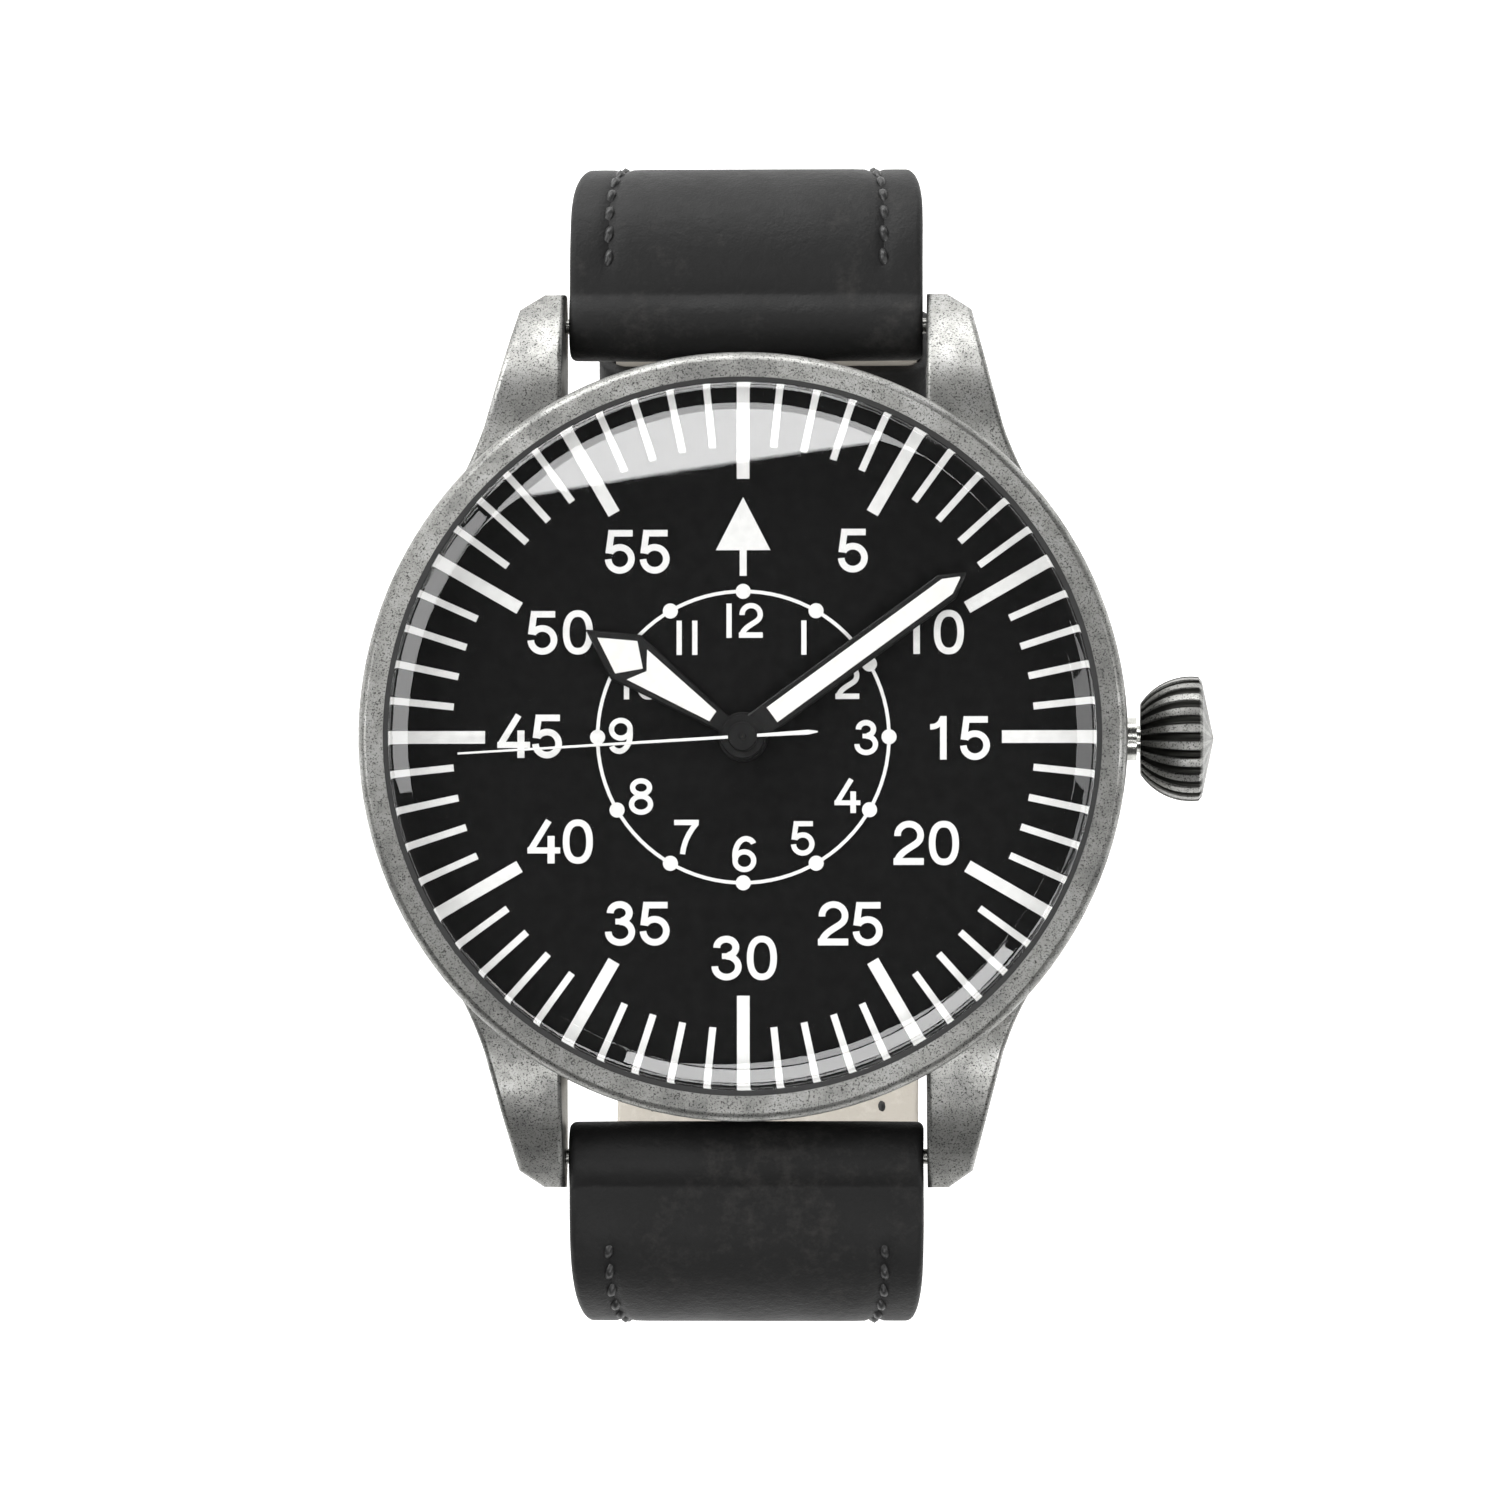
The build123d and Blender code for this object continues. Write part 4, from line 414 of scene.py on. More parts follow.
# Places of the figures on the dial in millimetres from its centre
OUTER_FIGURES = {
    "5": (6.02, 10.18), "10": (10.40, 5.70), "15": (11.85, -0.06), "20": (9.98, -5.80),
    "25": (5.86, -10.18), "30": (0.06, -12.05), "35": (-5.75, -10.16), "40": (-9.98, -5.70),
    "45": (-11.63, 0.06), "50": (-9.98, 5.72), "55": (-5.75, 10.14),
}
INNER_FIGURES = {
    "1": (3.33, 5.42), "2": (5.69, 3.0), "3": (6.72, -0.04), "4": (5.64, -3.22),
    "5": (3.27, -5.52), "6": (0.06, -6.38), "7": (-3.11, -5.45), "8": (-5.58, -3.26),
    "9": (-6.68, 0.05), "10": (-5.6, 3.0), "11": (-3.05, 5.42), "12": (0.0, 6.35),
}


def bar(x0, y0, x1, y1, weight):
    """Straight stroke between two points."""
    return np.array([[x0, y0], [x1, y1]]), weight, False


def figure_strokes(figure, plain_one=False):
    """Middle lines of one figure's strokes, the weight of each and whether it closes."""
    if figure == "0":
        # Between an ellipse and a rounded box: the sine and cosine to a power below 1
        turn = np.linspace(0, 2 * math.pi, 56, endpoint=False)
        oval = np.column_stack([np.cos(turn), np.sin(turn)])
        oval = np.sign(oval) * np.abs(oval) ** 0.86
        return [(oval * [11.6, 18.7] + [15.5, 21.6], 6.5, True)]
    if figure == "1":
        stem = [bar(13.2, 0, 13.2, 43, 6.5)]
        flag = [(bezier((0.2, 32.4), (6, 32.2), (10, 34.6), (11.9, 40.6), 12), 5.4, False)]
        return stem if plain_one else stem + flag
    if figure == "2":
        bowl = arc((15.7, 29.4), (11.4, 11.0), 184, -22, 26)
        hook = bezier(bowl[-1], (23.6, 18.6), (7.2, 15.2), (4.2, 4.2), 16)[1:]
        return [(np.vstack([bowl, hook]), 6.5, False), bar(0.3, 3.4, 30.2, 3.4, 6.8)]
    if figure == "3":
        return [
            (arc((14.9, 32.0), (9.4, 8.2), 182, -78, 26), 6.8, False),
            (arc((15.2, 13.0), (11.6, 10.3), 92, -182, 34), 6.5, False),
            bar(10.6, 23.4, 16.4, 23.4, 5.6),
        ]
    if figure == "4":
        foot = bar(23.6, 0, 23.6, 27.2, 7.0)
        return [bar(21.3, 42.4, 2.8, 12.4, 6.3), bar(0.2, 12.9, 32.6, 12.9, 6.0), foot]
    if figure == "5":
        return [
            (arc((14.9, 14.2), (11.5, 11.4), 146, -178, 36), 6.5, False),
            bar(6.9, 42.6, 3.8, 19.6, 6.3),
            bar(4.4, 39.6, 27.6, 39.6, 6.4),
        ]
    if figure == "7":
        fall = bezier((28.4, 38.6), (19.5, 28.0), (12.2, 15.0), (11.0, 0), 16)
        return [(fall, 6.6, False), bar(0.4, 39.7, 31.2, 39.7, 6.6)]
    if figure == "8":
        return [
            (arc((15.6, 33.2), (10.6, 8.4), 0, 360, 41)[:-1], 6.5, True),
            (arc((15.6, 12.3), (11.9, 10.0), 0, 360, 45)[:-1], 6.5, True),
        ]
    ring = arc((15.5, 30.3), (11.7, 11.1), 0, 360, 45)[:-1]
    tail = np.vstack([
        arc((13.4, 24.0), (13.8, 21.3), 17, -80, 24),
        arc((14.2, 10.8), (10.4, 8.1), -92, -166, 12),
    ])
    if figure == "6":
        ring, tail = (np.array([31.0, 43.4]) - stroke for stroke in (ring, tail))
    return [(ring, 6.5, True), (tail, 6.8, False)]


def number_shells(number, place, height, plain_one=False):
    """Ribbons of a whole number set about a place on the dial, with even room between figures."""
    scale = height / BODY_HEIGHT
    room = {"1": PLAIN_ONE if plain_one else FLAGGED_ONE}
    widths = [room.get(figure, BODY_WIDTH) for figure in number]
    shells, start = [], -(sum(widths) + FIGURE_GAP * (len(number) - 1)) / 2
    for figure, width in zip(number, widths):
        shift = start + (PLAIN_SHIFT if figure == "1" and plain_one else 0)
        for path, weight, closed in figure_strokes(figure, plain_one):
            flat = (path + np.array([shift, -BODY_HEIGHT / 2])) * scale + np.array(place)
            top = PRINT_HIGH + FILM_STEP * len(shells)
            shells.append(ribbon(flat, weight * scale, PRINT_LOW, top, closed))
        start += width + FIGURE_GAP
    return shells


# Strap loop in millimetres, seen from the side as Y and Z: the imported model's own centre lines

BAR_Y, BAR_Z = 23.0, 2.1
ROLL_RADIUS, ROLL_BORE, BAR_RUN = 1.95, 0.84, 2.05
OUTER_FACE, SEAM, INNER_FACE = 1.2, -0.2, -1.2
BEND_Y, BEND_Z, BEND_RADIUS = 25.3, -3.7, 5.8
ARC_Y, ARC_Z, ARC_RADIUS, TAIL_RADIUS = 13.1, -20.7, 18.0, 20.55
SIDE_Y, UNDER_Z, TAIL_Z, FLOOR_Z = 31.1, -38.7, -41.25, -43.56
BUCKLE_Y, BUCKLE_Z, BUCKLE_ROLL, BUCKLE_BORE = -4.0, -38.0, 1.9, 0.8
DIP_START, DIP_END, TAIL_TURN, TIP_TURN, TAIL_ROUND = -12.3, -5.8, 56.0, 4.0, 5.5
# Half widths at the buckle and gained by the lugs, and the level where the widening starts
NARROW, WIDENING, WIDEN_FROM = 9.0, 0.78, -5.0
# How far in from the edge the stitches run, and the depths and half width of their grooves
STITCH_IN, GROOVE_DEEP, LINING_GROOVE, GROOVE_WIDE = 2.15, 0.24, 0.08, 0.32
# Stitches: length, radius, slant across it, rise of the middle and how deep the ends dip
STITCH_LONG, STITCH_THICK, STITCH_SLANT, STITCH_RISE, STITCH_SUNK = 1.36, 0.3, 0.34, 0.2, 0.44
# Radii of the lining's outer edge and of the edges inside the strap, and the crown of a face
LINING_EDGE, HIDDEN_EDGE, CROWN = 0.25, 0.1, 0.03
# Room between leather and lining
SEAM_PLAY = 0.01
# Round holes: radius, spacing, how far the tongue's hole lies towards six and half a drum's reach
HOLE_RADIUS, HOLE_SPACING, HOLE_SHIFT, HOLE_REACH = 0.95, 6.5, 7.4, 2.4
# Slots for the tongue: half their width, room round the buckle's roll and the cut's reach
SLOT_HALF, SLOT_ROOM, SLOT_REACH = 1.15, 0.25, 6
# Keepers: half their opening and how far they reach along the strap
KEEPER_HALF, KEEPER_WIDTH = 9.25, 4.8


def half_width(height):
    """Half the strap's width, which narrows in an even S as the strap turns down from the lugs."""
    return NARROW + WIDENING * smooth((height - WIDEN_FROM) / (BAR_Z - WIDEN_FROM))


def run_line(start, end, normal, count):
    """Points of a straight run with its outward direction."""
    points = np.linspace(start, end, count)
    return points, np.tile(np.array(normal, float), (count, 1))


def run_arc(centre, radius, start, end, count):
    """Points of a round run with its outward direction."""
    points = arc(centre, radius, start, end, count)
    return points, (points - np.array(centre)) / radius


def strap_run(pieces):
    """Runs joined end to end, without the doubled points where they meet."""
    points = np.vstack([pieces[0][0]] + [p[1:] for p, _ in pieces[1:]])
    normals = np.vstack([pieces[0][1]] + [n[1:] for _, n in pieces[1:]])
    return points, normals


def over_the_side(start):
    """Centre line from the bar over the bend, down the side and round to the underside."""
    return [
        run_line((start, BAR_Z), (BEND_Y, BAR_Z), (0, 1), 4),
        run_arc((BEND_Y, BEND_Z), BEND_RADIUS, 90, 0, 26),
        run_line((SIDE_Y, BEND_Z), (SIDE_Y, ARC_Z), (1, 0), 22),
        run_arc((ARC_Y, ARC_Z), ARC_RADIUS, 0, -90, 44),
    ]


def buckle_half_run(start, end):
    """Centre line of the twelve o'clock half, from its bar to the buckle."""
    under = run_line((ARC_Y, UNDER_Z), (end, UNDER_Z), (0, -1), 26)
    return strap_run(over_the_side(start) + [under])


def hole_half_run(start):
    """Centre line of the six o'clock half: mirrored over the side, then an even S through the
    buckle, flat under the keepers and up along the outer arc to the tail's end."""
    points, normals = strap_run(over_the_side(start))
    flip = np.array([-1.0, 1.0])
    y = np.linspace(-ARC_Y, DIP_END, 26)
    t = (y - DIP_START) / (DIP_END - DIP_START)
    z = UNDER_Z + (TAIL_Z - UNDER_Z) * smooth(t)
    slope = np.gradient(z, y)
    down = np.column_stack([slope, -np.ones_like(y)]) / np.hypot(slope, 1)[:, None]
    flat = run_line((DIP_END, TAIL_Z), (ARC_Y, TAIL_Z), (0, -1), 28)
    tip_start, tail_end = TAIL_TURN - 90 - TIP_TURN, TAIL_TURN - 90
    rise = run_arc((ARC_Y, ARC_Z), TAIL_RADIUS, -90, tip_start, 40)
    tip = run_arc((ARC_Y, ARC_Z), TAIL_RADIUS, tip_start, tail_end, 24)
    dip = np.column_stack([y, z]), down
    return strap_run([(points * flip, normals * flip), dip, flat, rise, tip])


def distance_along(points):
    """Length walked from the first point to each point."""
    return np.concatenate([[0], np.cumsum(np.linalg.norm(np.diff(points, axis=0), axis=1))])


def drawn_in(radius, left):
    """How far a quarter circle of a radius has drawn in, at a distance left to its end."""
    return radius - np.sqrt(np.maximum(radius**2 - np.maximum(radius - left, 0) ** 2, 0))


def there_and_back(half):
    """Values from a middle line to an edge, and the same in reverse for the other side."""
    return np.concatenate([half, half[::-1]])


def leather_strip(seen, hidden, width, edge, groove, end_rounds=(False, False)):
    """Closed strip between two side-view curves. Its section is faintly crowned, with rounded
    edges, and a stitched face sinks by the groove along both stitch lines; it is carried from
    station to station, and a rounded end draws the section in by a quarter circle."""
    q = np.linspace(0, math.pi / 2, 6)
    flat = np.array([3.4, 2.7, 2.45, STITCH_IN, 1.85, 1.6, 1.0])
    front_in = np.concatenate([flat, edge * (1 - np.sin(q))])
    front_down = np.concatenate([np.zeros_like(flat), edge * (1 - np.cos(q))])
    front_down += CROWN * (1 - front_in / flat[0])
    sink = np.exp(-((flat - STITCH_IN) / GROOVE_WIDE) ** 2)
    back_in = HIDDEN_EDGE * (1 - np.sin(q[::-1]))
    back_down = HIDDEN_EDGE * (1 - np.cos(q[::-1]))
    n_front, n_back = len(front_in), len(back_in)
    away = there_and_back(np.concatenate([front_in, back_in]))
    down = there_and_back(np.concatenate([front_down, back_down]))
    dent = there_and_back(np.concatenate([sink, np.zeros(len(q) + n_back)]))
    behind = there_and_back(np.repeat([0.0, 1.0], [n_front, n_back]))
    hand = np.repeat([1.0, -1.0], n_front + n_back)
    thick = np.linalg.norm(hidden - seen, axis=1)
    walked = distance_along(seen)
    drawn = np.zeros(len(seen))
    for at_end, near in zip(end_rounds, (walked, walked[-1] - walked)):
        if at_end:
            drawn = np.maximum(drawn, drawn_in(edge, near))
    across = hand * (np.maximum(width - drawn, 0.5)[:, None] - away)
    depth = np.where(behind, thick[:, None] - down - drawn[:, None] * 0.5, down + drawn[:, None])
    depth = depth + groove[:, None] * dent
    toward = (hidden - seen) / thick[:, None]
    side = seen[:, None, :] + toward[:, None, :] * depth[:, :, None]
    points = np.dstack([across, side]).reshape(-1, 3)
    return points, carried_quads(len(seen), len(hand))


def stitch_shells(points, normals, level, start, end, pitch):
    """Thread stitches in two lines: each a short two-ply strand, thick in the middle and dipping
    into the leather at both ends, on the given level of a strap run."""
    face = points + normals * level
    walked = distance_along(face)
    places = np.arange(start, end, pitch)
    centre = np.column_stack([np.interp(places, walked, face[:, k]) for k in (0, 1)])
    out = np.column_stack([np.interp(places, walked, normals[:, k]) for k in (0, 1)])
    out = out / np.linalg.norm(out, axis=1)[:, None] * np.sign(level)
    along = np.stack([-out[:, 1], out[:, 0]], axis=-1)
    u = np.linspace(0.0, 1.0, 7)
    v = np.linspace(0, 2 * math.pi, 8, endpoint=False)
    bulge = np.sqrt(np.clip(np.sin(math.pi * u), 0.02, 1))
    two_ply = 1 + 0.16 * np.cos(2 * v[None, :] - 7 * u[:, None])
    ring = STITCH_THICK * bulge[:, None] * two_ply
    reach = (u - 0.5)[:, None] * STITCH_LONG + 0 * ring
    rise = (STITCH_RISE * np.sin(math.pi * u) - STITCH_SUNK)[:, None] + ring * np.sin(v)
    cross = ring * np.cos(v) + (u - 0.5)[:, None] * STITCH_SLANT
    quads = carried_quads(len(u), len(v))
    shells = []
    for hand in (1, -1):
        x = hand * (np.interp(places, walked, half_width(face[:, 1])) - STITCH_IN)
        x = x[:, None, None] + cross[None] * hand
        side = (
            centre[:, None, None, :]
            + along[:, None, None, :] * reach[None, :, :, None]
            + out[:, None, None, :] * rise[None, :, :, None]
        )
        block = np.concatenate([x[..., None], side], axis=-1)
        shells += [(stitch.reshape(-1, 3), quads) for stitch in block]
    return shells


def pointing(degrees):
    """Direction at an angle in side view."""
    return np.array([math.cos(math.radians(degrees)), math.sin(math.radians(degrees))])


def round_cutter(centre, degrees):
    """Drum through the strap for a round hole: circles carried along a side-view direction."""
    turn = np.linspace(0, 2 * math.pi, 40, endpoint=False)
    direction = pointing(degrees)
    across = np.array([-direction[1], direction[0]])
    rings = []
    for step in (-HOLE_REACH, HOLE_REACH):
        side = centre + direction * step + across * (HOLE_RADIUS * np.sin(turn))[:, None]
        rings.append(np.column_stack([HOLE_RADIUS * np.cos(turn), side]))
    return np.vstack(rings), carried_quads(2, len(turn))


def hole_on_arc(side, radius, degrees):
    """Drum square to one of the strap's outer arcs, at an angle in side view."""
    return round_cutter(np.array([side * ARC_Y, ARC_Z]) + radius * pointing(degrees), degrees)


def box_cutter(low, high):
    """Closed block between two corners."""
    (x0, y0, z0), (x1, y1, z1) = low, high
    loop = np.array([(x0, y0), (x1, y0), (x1, y1), (x0, y1)])
    points = np.vstack([np.column_stack([loop, np.full(4, z)]) for z in (z0, z1)])
    return points, carried_quads(2, 4)


def keeper_shell(low, high, wall, place):
    """Leather loop: a rounded band section carried round a rounded rectangle, then set in place
    by a function of X, height and distance along the strap."""
    corner, rim, inner_rim, crown = 0.9, 0.32, 0.15, 0.04
    quarter = np.linspace(0, 90, 9)
    path, facing = [], []
    for side, level, first in ((1, high - corner, 0), (-1, high - corner, 90),
                               (-1, low + corner, 180), (1, low + corner, 270)):
        turn = np.radians(first + quarter)
        facing.append(np.column_stack([np.cos(turn), np.sin(turn)]))
        path.append(np.array([side * (KEEPER_HALF - corner), level]) + corner * facing[-1])
    path, facing = np.vstack(path), np.vstack(facing)
    q = np.linspace(0, math.pi / 2, 5)
    end = KEEPER_WIDTH / 2
    rim_out = np.column_stack([end - rim + rim * np.sin(q), wall - rim + rim * np.cos(q)])
    back = q[::-1]
    rim_in = np.column_stack(
        [end - inner_rim + inner_rim * np.sin(back), inner_rim - inner_rim * np.cos(back)]
    )
    right = np.vstack([[0.0, wall + crown], rim_out, rim_in, [0.0, 0.0]])
    section = np.vstack([right, (right * [-1, 1])[-2:0:-1]])
    x = path[:, None, 0] + facing[:, None, 0] * section[None, :, 1]
    z = path[:, None, 1] + facing[:, None, 1] * section[None, :, 1]
    along = np.repeat(section[None, :, 0], len(path), axis=0)
    quads = grid_quads(len(path), len(section), wrap_rows=True, wrap_columns=True)
    return place(x, z, along).reshape(-1, 3), quads


# Settings that a user may change

Length = partial(FloatProperty, unit="LENGTH")
Brightness = partial(FloatProperty, min=0.0)
Tone = partial(FloatVectorProperty, subtype="COLOR")


class WatchDialSettings(bpy.types.PropertyGroup):
    figure_height: Length(
        name="Outer figures", description="Height of the minute figures", default=0.00237
    )
    inner_height: Length(
        name="Inner figures", description="Height of the hour figures", default=0.00187
    )


class WatchLeatherSettings(bpy.types.PropertyGroup):
    stitch_pitch: Length(name="Stitch pitch", description="From stitch to stitch", default=0.0015)
    edge: Length(name="Edge round", description="Radius of the strap's edges", default=0.0004)
    leather: Tone(name="Leather", description="Waxed leather", default=paint("#171717")[:3])
    scuff: Tone(name="Scuffs", description="Rubbed leather", default=paint("#292827")[:3])


class WatchMetalSettings(bpy.types.PropertyGroup):
    base: Tone(name="Steel", description="Main tone of the steel", default=paint("#8f8f8c")[:3])
    dark: Tone(name="Dark", description="Tone of the aged clouds", default=paint("#7a7a78")[:3])
    light: Tone(name="Light", description="Tone of the rubbed clouds", default=paint("#a0a09e")[:3])


class WatchStageSettings(bpy.types.PropertyGroup):
    skylight: Brightness(name="Skylight", description="Strip that the crystal mirrors", default=8.5)
    window: Brightness(name="Window", description="Low window beyond twelve o'clock", default=9.0)
    sides: Brightness(name="Sides", description="Soft boxes left and right", default=6.0)
    wall: Brightness(name="Far wall", description="Pale wall beyond six o'clock", default=12.0)
    floor_glow: Brightness(
        name="Floor glow", description="Light added where the floor is seen", default=0.85, max=1.0
    )
    camera_distance: Length(name="Camera distance", description="From dial to camera", default=0.45)


# Pieces


class OBJECT_OT_watch_metal(bpy.types.Operator):
    """Finish the case, crown, buckle and the other outer metal parts"""
    bl_idname = "object.watch_metal"
    bl_label = "Finish Metal"

    def execute(self, context):
        metal = context.scene.watch_metal
        tones = {key: (*getattr(metal, key), 1.0) for key in ("base", "dark", "light")}
        steel = blasted_steel("Bead_blasted_steel_aged", tones)
        finish_nodes(steel, "case_middle", "bezel", "case_back")
        ribs, stem_level, rib_end = 22, 3.7, 24.95
        ribbed = blasted_steel("Bead_blasted_steel_ribbed", tones, (ribs, stem_level, rib_end))
        finish_nodes(ribbed, "crown")
        # Satin steel, brushed along X, so its glints run across the strap
        along_x = (0.08, 1.0, 1.0)
        satin = worked_metal(
            "Stainless_steel_satin_brushed", "#a3a39f", "#868682", 0.08, along_x, 0.3
        )
        finish_nodes(satin, "buckle_frame", "buckle_bar", "buckle_tongue")
        finish_nodes(satin, "spring_bar_12", "spring_bar_6")
        # Turned steel: rings are too fine to show, so a plain tight grain stands for them
        upright = (1.0, 1.0, 0.1)
        turned = worked_metal("Stainless_steel_turned", "#b5b5b1", "#989893", 0.06, upright, 0.22)
        finish_nodes(turned, "crown_tube", "winding_stem")
        finish_nodes(turned, "casing_clamps", "casing_screws", "bridge_screws")
        # Nitrile rubber, moulded: dull black with a faint bloom
        rubber = plain_solid("Nitrile_rubber_moulded", "#1c1c1c", "#141414", 0.1, 0.6)
        finish_nodes(rubber, "case_back_gasket", "crystal_gasket", "crown_gasket")
        return {"FINISHED"}


class OBJECT_OT_watch_movement(bpy.types.Operator):
    """Finish the movement inside the case"""
    bl_idname = "object.watch_movement"
    bl_label = "Finish Movement"

    def execute(self, context):
        even, along_y = (1.0, 1.0, 1.0), (1.0, 0.06, 1.0)
        # Brass, stamped and fine-lapped: warm, with a soft sheen
        brass = worked_metal("Brass_stamped_lapped", "#c9a55a", "#ab8643", 0.05, even, 0.28)
        # Nickel-plated brass, grained in one direction across the bridges
        nickel = worked_metal("Nickel_plate_grained", "#bdbab0", "#a3a096", 0.07, along_y, 0.3)
        # Tempered spring steel, polished: dark blue-grey
        spring = worked_metal("Spring_steel_tempered", "#6f7680", "#4f555f", 0.05, even, 0.2)
        # Acetal, injection moulded: off-white and slightly waxy
        acetal = plain_solid("Acetal_moulded", "#d9d7d0", "#cfcdc6", 0.12, 0.42)
        finishes = {
            "movement_brass": brass, "movement_nickel": nickel, "spring_steel": spring,
            "ruby": synthetic_ruby(), "holder_plastic": acetal,
        }
        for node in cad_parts.values():
            for place in node.material_slots:
                packed = place.material.name.split(".")[0]
                place.material = finishes.get(packed, place.material)
        return {"FINISHED"}


class OBJECT_OT_watch_dial(bpy.types.Operator):
    """Draw the dial's figures and paint the dial"""
    bl_idname = "object.watch_dial"
    bl_label = "Dial and Figures"

    def execute(self, context):
        heights = context.scene.watch_dial
        # Luminous paint, printed: chalky, with a fine granular surface
        lume = plain_solid("Luminous_paint_printed", "#f5f5f3", "#ececea", 0.05, 0.75, 0.3)
        # Matt dial paint, sprayed: almost no gloss, with faint clouds
        matt = plain_solid(
            "Dial_paint_matt_sprayed", "#101010", "#090909", 0.09, 0.85, strength=0.25, sheen=0.12
        )
        finish_nodes(lume, "dial_markings")
        finish_nodes(matt, "dial", "rehaut_ring")
        shells = []
        for number, place in OUTER_FIGURES.items():
            shells += number_shells(number, place, heights.figure_height / MM)
        for number, place in INNER_FIGURES.items():
            shells += number_shells(number, place, heights.inner_height / MM, plain_one=True)
        figures = make_piece("dial_figures", shells, lume, "head", sharp=30)
        return {"FINISHED"}


def turned_outline(points, angle):
    """Outline given along a hand, turned to its clock angle."""
    a = math.radians(angle)
    along, side = np.array([math.sin(a), math.cos(a)]), np.array([-math.cos(a), math.sin(a)])
    points = np.array(points, float)
    return points[:, :1] * along + points[:, 1:] * side


def mirrored(points):
    """Closed outline from its upper half, given from root to tip."""
    return points + [(x, -y) for x, y in reversed(points)]


def drum(radius, low, high, bevel, bore=0.01):
    """Turned disc or ring with a sloped upper rim."""
    profile = np.array([
        (bore, low), (radius, low), (radius, high - bevel), (radius - bevel, high), (bore, high),
    ])
    return spun(profile, 64)


def hand_plates(outlines, angle, low, high, bevel):
    """Sloped plates over outlines given along a hand, all turned to its clock angle."""
    return [plate(turned_outline(outline, angle), low, high, bevel) for outline in outlines]


class OBJECT_OT_watch_hands(bpy.types.Operator):
    """Make the hands with sloped rims and their luminous fillings"""
    bl_idname = "object.watch_hands"
    bl_label = "Hands"

    def execute(self, context):
        # Black lacquer over brass, stoved: a smooth dark skin whose rims catch the light
        lacquer = plain_solid(
            "Black_lacquer_stoved", "#0f0f0f", "#0a0a0a", 0.2, 0.3, 0.05, 0.005, sheen=0.3
        )
        # Luminous paste, filled by hand: pale and granular
        paste = plain_solid("Luminous_paste_filled", "#f5f4f1", "#edece8", 0.05, 0.7, 0.3)
        # White lacquer on the seconds pointer alone, a painted highlight: the hand is black, and
        # the white stands in for the light along its edge, so that it reads as a hair line on the
        # dial
        highlight_white = plain_solid("White_lacquer_painted_highlight", "#f4f4f2", "#ebebe8", 0.2, 0.4, 0.05, 0.005)
        hour_angle, minute_angle, second_angle = 304.3, 53.8, 266.6
        blunt, rim, fine_rim, hub_rim = 0.04, 0.07, 0.03, 0.04

        outline = mirrored([(0.9, 0.5), (1.65, 0.55), (7.75, 1.46), (10.34, blunt)])
        shells = hand_plates([outline], hour_angle, 7.6, 7.74, rim)
        shells.append(drum(1.35, 7.6, 7.76, hub_rim, bore=0.98))
        hour = make_piece("hour_hand_frame", shells, lacquer, "hour_work")
        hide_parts("hour_hand")
        notch = [(7.0, 0.99), (1.98, 0.33), (1.98, 0), (1.98, -0.33), (7.0, -0.99), (6.36, 0)]
        diamond = [(6.6, 0), (7.7, 1.07), (9.62, 0), (7.7, -1.07)]
        shells = hand_plates([notch, diamond], hour_angle, 7.65, 7.775, fine_rim)
        hour_lume = make_piece("hour_hand_filling", shells, paste, "hour_work")
        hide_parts("hour_hand_lume")

        outline = mirrored([(0.9, 0.8), (7.0, 0.8), (13.75, 0.8), (15.07, blunt)])
        shells = hand_plates([outline], minute_angle, 8.02, 8.16, rim)
        shells.append(drum(1.2, 8.02, 8.18, hub_rim, bore=0.62))
        minute = make_piece("minute_hand_frame", shells, lacquer, "minute_work")
        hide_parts("minute_hand")
        outline = mirrored([(1.98, 0.5), (13.8, 0.5), (14.66, blunt)])
        shells = hand_plates([outline], minute_angle, 8.07, 8.19, fine_rim)
        minute_lume = make_piece("minute_hand_filling", shells, paste, "minute_work")
        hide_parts("minute_hand_lume")

        blade = mirrored([(0.6, 0.085), (15.54, 0.055)])
        tail = mirrored([(-4.1, blunt), (-3.58, 0.13), (-0.6, 0.08)])
        shells = hand_plates([blade, tail], second_angle, 8.43, 8.54, 0.025)
        # The pointer's white is a painted highlight in place of the light along a black hand's edge
        pointer = make_piece("second_hand_pointer", shells, highlight_white, "second_work")
        shells = [drum(0.8, 8.42, 8.58, 0.05), drum(0.2, 8.56, 8.68, hub_rim)]
        hub = make_piece("second_hand_hub", shells, lacquer, "second_work")
        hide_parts("second_hand")
        return {"FINISHED"}


class OBJECT_OT_watch_crystal(bpy.types.Operator):
    """Turn the domed crystal finely enough for clean reflections"""
    bl_idname = "object.watch_crystal"
    bl_label = "Crystal"

    def execute(self, context):
        top, edge, under_top, under_edge, rim, seat = 11.5, 18.1, 9.75, 18.6, 19.3, 8.9

        def cap(level, reach, fall):
            """Side profile of a ball's cap, from its axis to a reach at which it has fallen."""
            radius = (reach**2 + fall**2) / (2 * fall)
            r = np.linspace(0.02, reach, 46)
            return np.column_stack([r, level - radius + np.sqrt(radius**2 - r**2)])

        dome = cap(top, edge, 0.8)
        turn_in = bezier(dome[-1], (18.16, 10.695), (18.2, 10.68), (18.26, 10.66), 8)[1:]
        turn_out = bezier((18.9, 10.45), (19.12, 10.37), (rim, 10.2), (rim, 9.95), 12)
        # Two points close inside the ring's edges keep its face straight for the light
        shoulder = np.vstack([turn_in, [(18.31, 10.6436), (18.85, 10.4664)], turn_out])
        under = cap(under_top, under_edge, under_top - seat)[::-1]
        profile = np.vstack([dome, shoulder, [(rim, seat)], under])
        glass = mineral_glass()
        crystal = make_piece("crystal_dome", [spun(profile, 240)], glass, "head", sharp=28)
        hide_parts("crystal")
        return {"FINISHED"}


